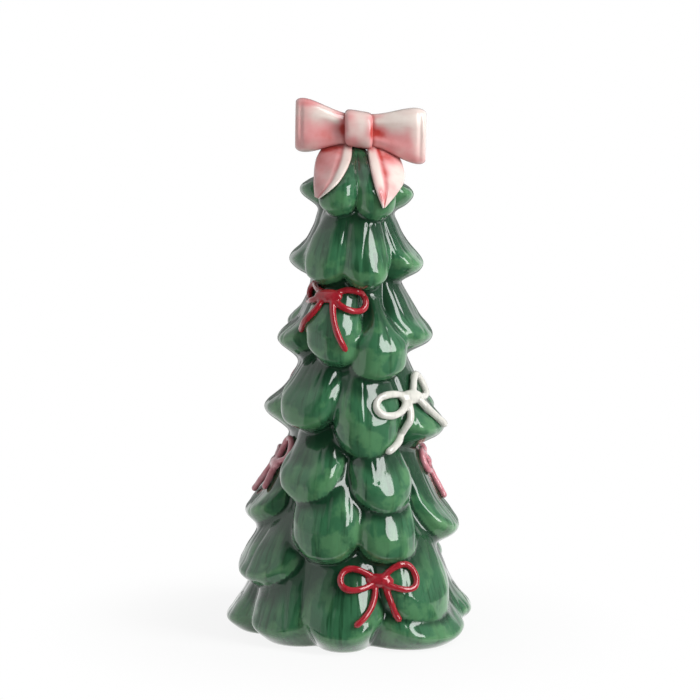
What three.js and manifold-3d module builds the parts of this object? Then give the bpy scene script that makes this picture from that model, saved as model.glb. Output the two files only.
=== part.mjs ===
// A glazed ceramic Christmas tree for a table top, with a ribbon bow on its tip and small raised bows on
// its branches. The tree is a hollow slip casting, open underneath. The ribbon bow is laid on the tip in
// five pieces of clay, and each small bow is rolled from one coil of clay and pressed onto the branches.
//
// Millimetres, +Z up. The origin is on the table, under the middle of the tree. The front is -Y. Left and
// right are those of the front view, and an azimuth of 0 degrees is the front, counted towards the right, +X.

import * as THREE from "three";
import { mergeVertices } from "three/addons/utils/BufferGeometryUtils.js";
import Module from "manifold-3d";

const wasm = await Module();
wasm.setup();

const { degToRad, radToDeg, lerp, smoothstep, mapLinear } = THREE.MathUtils;

// Clearances
const SEAT_GAP = 0.3; // between two pieces of clay that are laid on each other
const BURY = 1.2; // how far a branch's edges run inside the trunk, so that the two always join

// The trunk that carries the branches, from the table to the tip
const TRUNK = [
  { height: 0, radius: 34 },
  { height: 20, radius: 38 },
  { height: 41, radius: 37.5 },
  { height: 62, radius: 33.5 },
  { height: 85, radius: 28.5 },
  { height: 120, radius: 23 },
  { height: 155, radius: 19 },
  { height: 187, radius: 16 },
  { height: 205, radius: 10.5 },
  { height: 215, radius: 5 },
];
const TIP_CAP = 2.5; // the rounded end above the trunk's last radius
const TRUNK_SIDES = 22;

// The hollow that the slip leaves when it is poured out
const WALL = 5;
const TIP_SOLID = 24; // the clay fills the tip for this length
const HOLLOW_SIDES = 22;
const HOLLOW_STEP = 11; // the height between two rings of the hollow
const FEEL_SHARE = 0.75; // how much of a step the outside is felt above and below each ring
const TABLE_MISS = 0.5; // the outside is felt at least this far above the table

// How a branch's back falls: its rise a third and two thirds of the way down, as shares of its reach. A
// hollow back turns out towards the nose, and a full one drops straight to it.
const HOLLOW_BACK = [0.2, 0.52];
const EASED_BACK = [0.28, 0.6];
const LOW_BACK = [0.24, 0.56];
const FULL_BACK = [0.42, 0.78];

// The rows of branches from the tip down. A branch hangs from its root height, reaches furthest out at its
// nose, drops to its lip, which lies tuck behind the nose, and turns in under it to its chin. Spread is half
// its width in degrees, tip is how pointed its lower end is, and opening is its width at the root, as a share
// of its full spread.
const ROWS = [
  {
    root: 216, nose: 198, reach: 26, spread: 35, chin: 8, tip: 0.42, back: [0.3, 0.62],
    branches: [
      { at: -86, nose: 200, reach: 25 },
      { at: -24, nose: 196.5, back: FULL_BACK, lip: 6.5, tuck: 1.5, chin: 9, tip: 0.8 },
      { at: 29, nose: 195, back: FULL_BACK, lip: 7, tuck: 1.6, chin: 9.5, tip: 0.8 },
      { at: 84 },
      { at: 146, nose: 197 },
      { at: -150 },
    ],
  },
  {
    root: 195, nose: 168, reach: 30, spread: 31, chin: 8, tip: 0.42, back: HOLLOW_BACK,
    branches: [
      { at: -80, nose: 167, reach: 29 },
      { at: -33, nose: 165.5, back: FULL_BACK, lip: 6, tuck: 1.6, chin: 8.5, tip: 0.75 },
      { at: 13, nose: 164, reach: 30.5, back: FULL_BACK, lip: 6, tuck: 1.6, chin: 8.5, tip: 0.8 },
      { at: 69, nose: 166, reach: 32, spread: 32, back: EASED_BACK },
      { at: 122 },
      { at: 172, nose: 166 },
      { at: -130 },
    ],
  },
  {
    root: 164, nose: 134.5, reach: 34.5, spread: 31, chin: 8.5, tip: 0.42, back: HOLLOW_BACK,
    branches: [
      { at: -80, nose: 131.5, reach: 34, chin: 10, back: [0.12, 0.4] },
      { at: -21, nose: 135.5, back: FULL_BACK, lip: 10, tuck: 1.9, chin: 12.5, tip: 0.8 },
      {
        at: 27, root: 154, nose: 129, reach: 35.5, back: FULL_BACK,
        lip: 10, tuck: 1.9, chin: 12.5, tip: 0.75, opening: 0.25,
      },
      { at: 77, reach: 36, spread: 38, back: EASED_BACK },
      { at: 130, nose: 132 },
      { at: 179 },
      { at: -131, nose: 136 },
    ],
  },
  {
    root: 130, nose: 100, reach: 39.5, spread: 31, chin: 9, tip: 0.42, back: HOLLOW_BACK,
    branches: [
      { at: -90, nose: 100.5, chin: 10.5, back: [0.16, 0.46] },
      { at: -39, nose: 103, reach: 40, back: FULL_BACK, lip: 7, tuck: 1.6, chin: 9.5, tip: 0.9 },
      { at: 13, nose: 97.5, back: FULL_BACK, lip: 12.5, tuck: 2.3, chin: 15, tip: 0.95 },
      { at: 68, nose: 94, reach: 43, spread: 32, back: EASED_BACK },
      { at: 119 },
      { at: 169, nose: 98 },
      { at: -140 },
    ],
  },
  {
    root: 96, nose: 70, reach: 42, spread: 27, chin: 9, tip: 0.8, back: EASED_BACK,
    branches: [
      { at: -31, nose: 70.5, reach: 44.5, back: FULL_BACK, lip: 5.5, tuck: 1.6, tip: 0.9 },
      { at: 22, nose: 68, reach: 46.5, spread: 24, back: FULL_BACK, lip: 6, tuck: 1.6, tip: 0.95 },
      { at: 136 },
      { at: -178, nose: 72, reach: 45 },
      { at: -136 },
    ],
  },
  {
    root: 88, nose: 50, reach: 48, spread: 28, chin: 9, tip: 0.7, back: LOW_BACK,
    branches: [
      { at: -82, nose: 54, reach: 47.5 },
      { at: -16, nose: 51, spread: 25, back: FULL_BACK, lip: 11, tuck: 2.1, chin: 13.5, tip: 0.9 },
      { at: 25, nose: 48, spread: 22, back: FULL_BACK, lip: 8, tuck: 1.8, chin: 10.5, tip: 0.75 },
      { at: 80, nose: 49, reach: 49.5 },
      { at: 113, nose: 48 },
      { at: 157 },
      { at: -156, nose: 48 },
      { at: -118, nose: 52 },
    ],
  },
  {
    root: 60, nose: 27, reach: 51.5, spread: 29, chin: 9, tip: 0.6, back: LOW_BACK,
    branches: [
      { at: -61, nose: 29.5, reach: 53, spread: 30, back: [0.4, 0.75] },
      { at: 45, nose: 20, reach: 52.5, back: FULL_BACK, lip: 8, tuck: 1.9, chin: 10.5, tip: 0.8 },
      { at: 137 },
      { at: -170, nose: 24 },
      { at: -113, nose: 28 },
    ],
  },
  {
    root: 44, nose: 8, reach: 53, spread: 26, chin: 15, tip: 0.3, back: LOW_BACK,
    branches: [
      { at: -88, nose: 5.5, reach: 55.4 },
      { at: -44, nose: 6.5, reach: 52.5, spread: 27, back: FULL_BACK, tip: 0.35 },
      { at: -4, nose: 6.5, reach: 53.5, back: [0.46, 0.82], tip: 0.85 },
      { at: 52, nose: 5, reach: 57, spread: 37 },
      { at: 92, nose: 10, reach: 55.6 },
      { at: 138 },
      { at: -177, nose: 7 },
      { at: -131 },
    ],
  },
];

// A branch's form
const NOSE_ROUND = 4.2; // how far above its nose a branch turns
const NOSE_BACK = 0.9; // how far in the back is where it turns to the nose
const LIP = 4.2; // from the nose down to the lip, on a branch that names no lip of its own
const TUCK = 4; // how far the lip lies behind the nose, on a branch that names no tuck of its own
const BACK_FLATNESS = 2.6; // a higher power makes a flatter back
const SIDE_FALL = 0.58; // a lower power makes steeper sides
const OPENING = 0.9; // the width at the root, on a branch that names no opening of its own
const OPEN_AT = 0.6; // how far down a branch has its full spread
const POINTED_AT = 0.7; // how far down the sides have risen to their full height above the tip
const BRANCH_COLUMNS = 6;
const BRANCH_ROWS = 6;

// The small bows. At and height place the knot. A loop is as long and as tall as its coil's middle line,
// and rise turns its far end up, in degrees. A tail bends towards one place and ends at another, given as
// [across, up] from the knot.
const COIL = { wide: 3, tall: 2.6, sides: 5, end: 0.45 }; // end is the share left at a tail's rounded end
const COIL_STEEPEST = 0.55; // the coil leaves a surface that falls away faster than this
const LOOP_STEPS = 10;
const LOOP_NECK = 1.5; // a higher power makes a longer narrow neck between the loop and the knot
const LOOP_FULLNESS = 0.7; // a loop's height above its middle line, as a share of how tall it is named
const TAIL_STEPS = 4;
const PINCH = { radius: 3, sides: 7, rings: 5 }; // the knot, pinched out of the coil
const SMALL_BOWS = [
  {
    name: "red_bow_upper_front", glaze: "red", at: -24, height: 153,
    left: { long: 18.5, tall: 8, rise: 3 },
    right: { long: 16.2, tall: 9.8, rise: -6 },
    tails: [{ bend: [-3.5, -9], end: [-13, -16] }, { bend: [3, -9], end: [8.5, -22.5] }],
  },
  {
    name: "white_bow_right", glaze: "white", at: 51.5, height: 108.5,
    left: { long: 20, tall: 8.4, rise: -7 },
    right: { long: 15, tall: 9, rise: 22 },
    tails: [{ bend: [-3.5, -14], end: [-16.5, -22] }, { bend: [4, -5], end: [11, -13.5] }],
  },
  {
    name: "red_bow_lower_front", glaze: "red", at: 17.5, height: 31,
    left: { long: 16.8, tall: 8.6, rise: 4 },
    right: { long: 13.8, tall: 11.2, rise: 13 },
    tails: [{ bend: [-3, -11], end: [-11.2, -18] }, { bend: [3.5, -8], end: [7.5, -17.5] }],
  },
  {
    name: "pink_bow_left", glaze: "pink", at: -79, height: 76,
    left: { long: 14.5, tall: 9, rise: 4 },
    right: { long: 14, tall: 9.5, rise: 48 },
    tails: [{ bend: [-4, -8], end: [-9, -15] }, { bend: [2, -5], end: [4, -11.5] }],
  },
  {
    name: "pink_bow_right", glaze: "pink", at: 101, height: 76,
    left: { long: 14, tall: 9, rise: 8 },
    right: { long: 14, tall: 9.5, rise: -4 },
    tails: [{ bend: [-4, -8], end: [-8, -16] }, { bend: [4, -8], end: [9, -15] }],
  },
  {
    name: "white_bow_upper_back", glaze: "white", at: 162, height: 147,
    left: { long: 14.5, tall: 8, rise: -4 },
    right: { long: 15.5, tall: 9, rise: 4 },
    tails: [{ bend: [-4, -9], end: [-10, -17] }, { bend: [3, -9], end: [6, -19] }],
  },
  {
    name: "red_bow_middle_back", glaze: "red", at: -150, height: 111,
    left: { long: 15, tall: 8.5, rise: 4 },
    right: { long: 14.5, tall: 9.5, rise: 6 },
    tails: [{ bend: [-4, -9], end: [-11, -16] }, { bend: [4, -9], end: [9, -18] }],
  },
  {
    name: "white_bow_lower_back", glaze: "white", at: -172, height: 34,
    left: { long: 16, tall: 8.5, rise: 6 },
    right: { long: 15.5, tall: 10, rise: 2 },
    tails: [{ bend: [-3, -11], end: [-10, -18] }, { bend: [4, -10], end: [9, -17] }],
  },
];

// The ribbon bow. Its knot is pressed down over the tip, a little to the right of the trunk's middle, and
// everything else on it is placed from the knot's middle.
const KNOT = {
  across: 1, wide: 12.4, tall: 16.5, deep: 17.5, pressed: 1, ends: 0.72, squareness: 6, slant: 0.9,
};
const KNOT_STATIONS = 5;
const RIBBON_SIDES = 14;
const RIBBON_SOFTNESS = 0.75; // 1 makes an oval ring and a lower power a squarer one
const RIBBON_LOOPS = [
  { name: "ribbon_left_loop", side: -1, long: 21.7, rise: 1.9, neck: 13.4, end: 25.2, deep: 15.5 },
  { name: "ribbon_right_loop", side: 1, long: 23.4, rise: -2.9, neck: 14, end: 26.2, deep: 15.5 },
];
const LOOP_OVERLAP = 3; // how far a loop's neck would run into the knot, before it is cut to it
const LOOP_DIMPLE = 0.36; // the hollow between a loop's two pleats, as a share of its depth
const LOOP_FULLEST = 2 / 3; // how far out a loop is deepest
const LOOP_NECK_DEEP = 0.6; // its depth at the neck, as a share of its full depth
const LOOP_END = { tall: 0.78, deep: 0.6, squareness: 8 }; // what is left of its size at its rounded end
const LOOP_STATIONS = 6;

// A tail's two long edges, as [across, up] from the knot's middle, from under the knot to its tip
const RIBBON_THICK = 2.4;
const TAIL_STEEPEST = 1.6; // the ribbon leaves a surface that falls away faster than this
const TAIL_START_DEPTH = 0.5; // how far in front of the trunk's middle line a tail starts, under its loop
const TAIL_ROWS = 7;
const TAIL_COLUMNS = 4;
const RIBBON_TAILS = [
  {
    name: "ribbon_left_tail",
    leftEdge: [[-14, -6], [-18, -13], [-18.8, -21.5], [-17.4, -29.6]],
    rightEdge: [[-2.6, -6], [-3, -12.5], [-7.4, -20.5], [-15.4, -28.8]],
  },
  {
    name: "ribbon_right_tail",
    leftEdge: [[3.4, -6], [5, -15], [7.4, -24], [10.8, -32.6]],
    rightEdge: [[15, -7], [19.6, -15], [20, -22.5], [12.6, -31.8]],
  },
];

const usual = { lip: LIP, tuck: TUCK, opening: OPENING };
const branches = ROWS.flatMap((row) => row.branches.map((branch) => ({ ...usual, ...row, ...branch })));
const lowestHem = Math.min(...branches.map((branch) => branch.nose - branch.chin)); // cut off at the table
const tip = TRUNK[TRUNK.length - 1];
const knotHeight = tip.height + TIP_CAP - KNOT.pressed + KNOT.tall / 2;
const FAR = 150; // further out than any part of the tree

const glazes = {
  green: new THREE.MeshStandardMaterial({ color: 0x2f6b45, roughness: 0.12, metalness: 0 }),
  red: new THREE.MeshStandardMaterial({ color: 0xa5202c, roughness: 0.12, metalness: 0 }),
  white: new THREE.MeshStandardMaterial({ color: 0xe6e1d8, roughness: 0.12, metalness: 0 }),
  pink: new THREE.MeshStandardMaterial({ color: 0xdd9a98, roughness: 0.12, metalness: 0 }),
};

// A point at an azimuth in degrees, a radius and a height.
function around(azimuth, radius, height) {
  const a = degToRad(azimuth);
  return new THREE.Vector3(radius * Math.sin(a), -radius * Math.cos(a), height);
}

// A closed three.js geometry as a solid that can be joined and cut.
function solid(geometry) {
  const bare = geometry.index ? geometry.toNonIndexed() : geometry.clone();
  bare.deleteAttribute("normal");
  bare.deleteAttribute("uv");
  const merged = mergeVertices(bare, 1e-4);
  return new wasm.Manifold(
    new wasm.Mesh({
      numProp: 3,
      vertProperties: merged.attributes.position.array,
      triVerts: new Uint32Array(merged.index.array),
    }),
  );
}

// A solid as a three.js geometry.
function geometryOf(made) {
  const mesh = made.getMesh();
  const positions = new Float32Array(mesh.vertProperties);
  const geometry = new THREE.BufferGeometry();
  geometry.setAttribute("position", new THREE.BufferAttribute(positions, mesh.numProp));
  geometry.setIndex(new THREE.BufferAttribute(mesh.triVerts, 1));
  geometry.computeVertexNormals();
  return geometry;
}

// A solid from points and triangles.
function solidOf(points, triangles) {
  const geometry = new THREE.BufferGeometry().setFromPoints(points);
  geometry.setIndex(triangles);
  return solid(geometry);
}

// A turned solid from a profile of [radius, height] pairs that starts and ends on the axis.
function turned(profile, sides) {
  const points = profile.map(([radius, height]) => new THREE.Vector2(radius, height));
  return solid(new THREE.LatheGeometry(points, sides).rotateX(Math.PI / 2));
}

// A closed loft through rings that all have the same count of points.
function loft(rings) {
  const count = rings[0].length;
  const points = rings.flat();
  const triangles = [];
  for (let ring = 0; ring < rings.length - 1; ring++) {
    for (let i = 0; i < count; i++) {
      const a = ring * count + i;
      const b = ring * count + ((i + 1) % count);
      triangles.push(a, b, a + count, b, b + count, a + count);
    }
  }
  const firstMiddle = points.push(middleOf(rings[0])) - 1;
  const lastMiddle = points.push(middleOf(rings[rings.length - 1])) - 1;
  const last = (rings.length - 1) * count;
  for (let i = 0; i < count; i++) {
    const next = (i + 1) % count;
    triangles.push(next, i, firstMiddle, last + i, last + next, lastMiddle);
  }
  return solidOf(points, triangles);
}

function middleOf(points) {
  return points.reduce((sum, point) => sum.add(point), new THREE.Vector3()).divideScalar(points.length);
}

// The trunk's radius at a height.
function trunkRadius(height) {
  const above = TRUNK.findIndex((ring) => ring.height >= height);
  if (above < 0) return tip.radius;
  if (above === 0) return TRUNK[0].radius;
  const [low, high] = [TRUNK[above - 1], TRUNK[above]];
  return mapLinear(height, low.height, high.height, low.radius, high.radius);
}

// The line down the middle of a branch's back, as radius and height, from its root to under its chin.
function branchSpine(branch) {
  const rootRadius = trunkRadius(branch.root);
  const hem = branch.nose - branch.chin;
  const fall = branch.root - branch.nose;
  return new THREE.SplineCurve([
    new THREE.Vector2(rootRadius - BURY, branch.root),
    new THREE.Vector2(lerp(rootRadius, branch.reach, branch.back[0]), branch.root - fall / 3),
    new THREE.Vector2(lerp(rootRadius, branch.reach, branch.back[1]), branch.root - (fall * 2) / 3),
    new THREE.Vector2(branch.reach - NOSE_BACK, branch.nose + NOSE_ROUND),
    new THREE.Vector2(branch.reach, branch.nose),
    new THREE.Vector2(branch.reach - branch.tuck, branch.nose - branch.lip),
    new THREE.Vector2(trunkRadius(hem) - BURY, hem),
  ]);
}

// A point on a branch, across its back from -1 to 1 and down it from 0 at the root to 1 under the chin.
function branchPoint(branch, spine, across, down, grow) {
  const onSpine = spine.getPoint(down);
  const halfWidth = branch.reach * degToRad(branch.spread);
  const pointed = branch.tip * smoothstep(down, 0, POINTED_AT);
  const lift = halfWidth * pointed * (1 - Math.sqrt(1 - across * across));
  const height = onSpine.y + lift;
  const inside = trunkRadius(height) - BURY;
  const fullness = Math.pow(1 - Math.pow(Math.abs(across), BACK_FLATNESS), SIDE_FALL);
  const radius = Math.max(inside, lerp(inside, onSpine.x, fullness));
  const opening = lerp(branch.opening, 1, smoothstep(down, 0, OPEN_AT));
  const azimuth = branch.at + across * branch.spread * opening;
  return around(azimuth, radius + grow, height + grow * (1 - 2 * down));
}

// One branch, larger all round by grow: its back, closed to a point on the trunk's axis.
function branchSolid(branch, grow) {
  const spine = branchSpine(branch);
  const points = [];
  for (let row = 0; row <= BRANCH_ROWS; row++) {
    for (let column = 0; column <= BRANCH_COLUMNS; column++) {
      const across = Math.sin((column / BRANCH_COLUMNS - 0.5) * Math.PI);
      points.push(branchPoint(branch, spine, across, row / BRANCH_ROWS, grow));
    }
  }
  const inner = points.push(new THREE.Vector3(0, 0, (branch.root + branch.nose) / 2)) - 1;
  const wide = BRANCH_COLUMNS + 1;
  const last = BRANCH_ROWS * wide;
  const triangles = [];
  for (let row = 0; row < BRANCH_ROWS; row++) {
    for (let column = 0; column < BRANCH_COLUMNS; column++) {
      const a = row * wide + column;
      triangles.push(a, a + wide, a + 1, a + 1, a + wide, a + wide + 1);
    }
    const left = row * wide;
    const right = left + BRANCH_COLUMNS;
    triangles.push(left + wide, left, inner, right, right + wide, inner);
  }
  for (let column = 0; column < BRANCH_COLUMNS; column++) {
    triangles.push(column, column + 1, inner, last + column + 1, last + column, inner);
  }
  return solidOf(points, triangles);
}

// The outside of the tree, larger all round by grow and cut off level at the table.
function treeOutside(grow) {
  const rings = TRUNK.map((ring) => [ring.radius + grow, ring.height]);
  const start = [[0, lowestHem], [TRUNK[0].radius + grow, lowestHem]];
  const profile = [...start, ...rings, [0, tip.height + TIP_CAP + grow]];
  let tree = turned(profile, TRUNK_SIDES);
  for (const branch of branches) tree = tree.add(branchSolid(branch, grow));
  const table = new THREE.BoxGeometry(2 * FAR, 2 * FAR, FAR).translate(0, 0, -FAR / 2);
  return tree.subtract(solid(table));
}

const treeSolid = treeOutside(0);
const treeKeepOut = treeOutside(SEAT_GAP);
const treeSurface = new THREE.Mesh(geometryOf(treeSolid), new THREE.MeshBasicMaterial());

// Where a ray from a point first meets the tree, or nothing where it misses.
function feel(from, direction) {
  return new THREE.Raycaster(from, direction, 0, 2 * FAR).intersectObject(treeSurface)[0];
}

// The tree's outer radius at an azimuth and a height, and the way out of the clay there.
function surfaceAt(azimuth, height) {
  const hit = feel(around(azimuth, FAR, height), around(azimuth, -1, 0));
  return { radius: FAR - hit.distance, outward: hit.face.normal };
}

// The least radius of the tree around an azimuth and a height, within half a side and most of a step.
function leastRadius(azimuth, height) {
  const aside = 180 / HOLLOW_SIDES;
  const away = HOLLOW_STEP * FEEL_SHARE;
  const spots = [[0, 0], [-aside, -away], [-aside, away], [aside, -away], [aside, away]];
  const radii = spots.map(([turn, rise]) => {
    return surfaceAt(azimuth + turn, Math.max(TABLE_MISS, height + rise)).radius;
  });
  return Math.min(...radii);
}

// The hollow follows the outside loosely, nowhere nearer to it than the wall, and runs out at the foot.
function hollowSolid() {
  const top = tip.height - TIP_SOLID;
  const count = Math.round(top / HOLLOW_STEP);
  const rings = [];
  for (let i = 0; i <= count; i++) {
    const height = (i / count) * top;
    const ring = [];
    for (let side = 0; side < HOLLOW_SIDES; side++) {
      const azimuth = (side / HOLLOW_SIDES) * 360;
      ring.push(around(azimuth, leastRadius(azimuth, height) - WALL, height));
    }
    rings.push(ring);
  }
  const below = rings[0].map((point) => point.clone().setZ(lowestHem));
  return loft([below, ...rings]);
}

// Values raised until no two differ by more than the steepest slope times the distance between them.
function bridged(values, distance, steepest) {
  return values.map((_, i) => Math.max(...values.map((value, j) => value - steepest * distance(i, j))));
}

// A small bow's loop as [across, up] points from the knot: a drop that leaves the knot and comes back.
function loopPoints({ long, tall, rise }, side) {
  const turn = degToRad(rise);
  const points = [];
  for (let i = 0; i <= LOOP_STEPS; i++) {
    const a = (i / LOOP_STEPS) * Math.PI;
    const out = long * Math.sin(a) ** 2;
    const up = LOOP_FULLNESS * tall * Math.sin(2 * a) * Math.sin(a) ** LOOP_NECK;
    const across = out * Math.cos(turn) - up * Math.sin(turn);
    points.push([side * across, up * Math.cos(turn) + out * Math.sin(turn)]);
  }
  return points;
}

// A small bow's tail as [across, up] points from the knot.
function tailPoints({ bend, end }) {
  const curve = new THREE.QuadraticBezierCurve(
    new THREE.Vector2(0, 0),
    new THREE.Vector2(...bend),
    new THREE.Vector2(...end),
  );
  return curve.getSpacedPoints(TAIL_STEPS).map((point) => point.toArray());
}

// The places of a small bow's points on the branches, each with the way out of the clay there.
function laidOn(bow, points) {
  const reach = surfaceAt(bow.at, bow.height).radius;
  const travelled = points.map(() => 0);
  for (let i = 1; i < points.length; i++) {
    const step = Math.hypot(points[i][0] - points[i - 1][0], points[i][1] - points[i - 1][1]);
    travelled[i] = travelled[i - 1] + step;
  }
  const places = points.map(([across, up]) => [bow.at + radToDeg(across / reach), bow.height + up]);
  const felt = places.map(([azimuth, height]) => surfaceAt(azimuth, height));
  const distance = (i, j) => Math.abs(travelled[i] - travelled[j]);
  const radii = bridged(felt.map((spot) => spot.radius), distance, COIL_STEEPEST);
  return places.map(([azimuth, height], i) => {
    const nearby = felt.slice(Math.max(0, i - 1), i + 2).map((spot) => spot.outward.clone());
    return { point: around(azimuth, radii[i], height), outward: middleOf(nearby).normalize() };
  });
}

// A coil of clay along places on the branches.
function coil(places, endWidth) {
  const last = places.length - 1;
  const rings = places.map(({ point, outward }, i) => {
    const along = places[Math.min(last, i + 1)].point.clone().sub(places[Math.max(0, i - 1)].point);
    const sideways = outward.clone().cross(along).normalize();
    const width = i === last ? endWidth : 1;
    const ring = [];
    for (let side = 0; side < COIL.sides; side++) {
      const a = ((side + 0.5) / COIL.sides) * 2 * Math.PI - Math.PI / 2;
      const spot = point.clone().addScaledVector(sideways, (COIL.wide / 2) * width * Math.cos(a));
      ring.push(spot.addScaledVector(outward, SEAT_GAP + (COIL.tall / 2) * width * (1 + Math.sin(a))));
    }
    return ring;
  });
  return loft(rings);
}

function pinch({ point, outward }) {
  const centre = point.clone().addScaledVector(outward, SEAT_GAP + COIL.tall / 2);
  const geometry = new THREE.SphereGeometry(PINCH.radius, PINCH.sides, PINCH.rings);
  return solid(geometry.translate(centre.x, centre.y, centre.z));
}

// One small bow: two loops and two tails of one coil, pinched together at the knot.
function smallBow(bow) {
  let made = pinch(laidOn(bow, [[0, 0]])[0]);
  made = made.add(coil(laidOn(bow, loopPoints(bow.left, -1)), 1));
  made = made.add(coil(laidOn(bow, loopPoints(bow.right, 1)), 1));
  for (const tail of bow.tails) made = made.add(coil(laidOn(bow, tailPoints(tail)), COIL.end));
  return made.subtract(treeKeepOut);
}

// A ring across the ribbon, standing across X: a soft rectangle, drawn in half way up its front and back.
function ribbonRing(across, up, deep, tall, dimple) {
  const soften = (value) => Math.sign(value) * Math.abs(value) ** RIBBON_SOFTNESS;
  const ring = [];
  for (let i = 0; i < RIBBON_SIDES; i++) {
    const a = (i / RIBBON_SIDES) * 2 * Math.PI;
    const rise = soften(Math.sin(a));
    const drawn = 1 - dimple * (1 - rise * rise);
    const depth = (deep / 2) * soften(Math.cos(a)) * drawn;
    ring.push(new THREE.Vector3(KNOT.across + across, depth, knotHeight + up + (tall / 2) * rise));
  }
  return ring;
}

function ribbonKnot(grow) {
  const rings = [];
  for (let i = 0; i <= KNOT_STATIONS; i++) {
    const along = (i / KNOT_STATIONS) * 2 - 1;
    const swell = lerp(KNOT.ends, 1, Math.sqrt(1 - along ** KNOT.squareness));
    const across = along * (KNOT.wide / 2 + grow);
    const up = -KNOT.slant * along;
    rings.push(ribbonRing(across, up, KNOT.deep * swell + 2 * grow, KNOT.tall * swell + 2 * grow, 0));
  }
  return loft(rings);
}

// A loop of the ribbon bow: it widens from its neck in the knot to a rounded end, with a hollow between
// its two pleats that runs out before the end.
function ribbonLoop(loop, grow) {
  const inKnot = KNOT.wide / 2 - LOOP_OVERLAP;
  const length = loop.long + LOOP_OVERLAP;
  const rings = [];
  for (let i = 0; i <= LOOP_STATIONS; i++) {
    const share = Math.sin(((i / LOOP_STATIONS) * Math.PI) / 2);
    const rounding = Math.sqrt(1 - share ** LOOP_END.squareness);
    const filling = Math.sin((share / LOOP_FULLEST) * (Math.PI / 2));
    const widening = lerp(loop.neck, loop.end, smoothstep(share, 0, 1));
    const tall = widening * lerp(LOOP_END.tall, 1, rounding) + 2 * grow;
    const deep = loop.deep * lerp(LOOP_NECK_DEEP, 1, filling) * lerp(LOOP_END.deep, 1, rounding) + 2 * grow;
    const across = loop.side * (inKnot + length * share + grow * share);
    rings.push(ribbonRing(across, loop.rise * share, deep, tall, LOOP_DIMPLE * (1 - share ** 2)));
  }
  if (loop.side < 0) rings.reverse();
  return loft(rings);
}

// A tail of the ribbon bow: a ribbon of even thickness that lies over the branches in front.
function ribbonTail(tail) {
  const leftEdge = new THREE.SplineCurve(tail.leftEdge.map((point) => new THREE.Vector2(...point)));
  const rightEdge = new THREE.SplineCurve(tail.rightEdge.map((point) => new THREE.Vector2(...point)));
  const grid = [];
  for (let row = 0; row <= TAIL_ROWS; row++) {
    const left = leftEdge.getPoint(row / TAIL_ROWS);
    const right = rightEdge.getPoint(row / TAIL_ROWS);
    for (let column = 0; column <= TAIL_COLUMNS; column++) {
      const place = left.clone().lerp(right, column / TAIL_COLUMNS);
      grid.push(new THREE.Vector3(KNOT.across + place.x, 0, knotHeight + place.y));
    }
  }
  const felt = grid.map((point, i) => {
    if (i <= TAIL_COLUMNS) return TAIL_START_DEPTH;
    const hit = feel(new THREE.Vector3(point.x, -FAR, point.z), new THREE.Vector3(0, 1, 0));
    return hit ? FAR - hit.distance : 0;
  });
  const forward = bridged(felt, (i, j) => grid[i].distanceTo(grid[j]), TAIL_STEEPEST);
  const rings = [];
  for (let row = 0; row <= TAIL_ROWS; row++) {
    const start = row * (TAIL_COLUMNS + 1);
    const under = [];
    const over = [];
    for (let i = start; i <= start + TAIL_COLUMNS; i++) {
      under.push(grid[i].clone().setY(-forward[i] - SEAT_GAP));
      over.unshift(grid[i].clone().setY(-forward[i] - SEAT_GAP - RIBBON_THICK));
    }
    rings.push([...under, ...over]);
  }
  return loft(rings);
}

// Puts a solid in the tree as a named mesh.
function place(name, made, glaze) {
  const mesh = new THREE.Mesh(geometryOf(made), glazes[glaze]);
  mesh.name = name;
  group.add(mesh);
}

const group = new THREE.Group();
place("tree_casting", treeSolid.subtract(hollowSolid()), "green");

// Each piece of the ribbon bow is cut to the pieces that it is laid on
let laidSoFar = treeKeepOut;
place("ribbon_knot", ribbonKnot(0).subtract(laidSoFar), "pink");
laidSoFar = laidSoFar.add(ribbonKnot(SEAT_GAP));
for (const loop of RIBBON_LOOPS) place(loop.name, ribbonLoop(loop, 0).subtract(laidSoFar), "pink");
for (const loop of RIBBON_LOOPS) laidSoFar = laidSoFar.add(ribbonLoop(loop, SEAT_GAP));
for (const tail of RIBBON_TAILS) place(tail.name, ribbonTail(tail).subtract(laidSoFar), "pink");

for (const bow of SMALL_BOWS) place(bow.name, smallBow(bow), bow.glaze);

export default group;
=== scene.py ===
"""Looks of a glazed ceramic Christmas tree for a table top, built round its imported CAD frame.

The tree is a hollow slip casting of brushed green glaze. A ribbon bow of modelled clay sits on its tip, and
eight small bows of rolled clay coils lie on its branches. Lengths in this file are millimetres until a mesh
is made, and azimuths are degrees from the front, -Y, towards the right, +X.
"""

import logging
import math
from dataclasses import dataclass, field, replace
from enum import Enum

import bpy
import numpy as np
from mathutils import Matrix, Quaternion, Vector
from mathutils.bvhtree import BVHTree

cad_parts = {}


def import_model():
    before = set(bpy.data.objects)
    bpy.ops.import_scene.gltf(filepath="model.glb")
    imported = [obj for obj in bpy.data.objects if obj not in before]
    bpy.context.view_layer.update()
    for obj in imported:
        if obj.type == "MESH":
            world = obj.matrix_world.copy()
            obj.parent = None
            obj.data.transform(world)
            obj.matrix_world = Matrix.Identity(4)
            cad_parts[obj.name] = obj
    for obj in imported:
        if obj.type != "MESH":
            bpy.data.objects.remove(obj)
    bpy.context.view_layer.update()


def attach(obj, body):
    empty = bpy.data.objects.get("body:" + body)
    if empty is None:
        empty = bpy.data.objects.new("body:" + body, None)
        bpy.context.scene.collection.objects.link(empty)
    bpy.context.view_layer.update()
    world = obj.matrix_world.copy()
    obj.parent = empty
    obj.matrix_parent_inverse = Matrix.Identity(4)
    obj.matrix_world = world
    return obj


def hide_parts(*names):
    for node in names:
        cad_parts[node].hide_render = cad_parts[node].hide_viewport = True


log = logging.getLogger("ceramic_tree")

MM = 0.001  # metres in a millimetre

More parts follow.
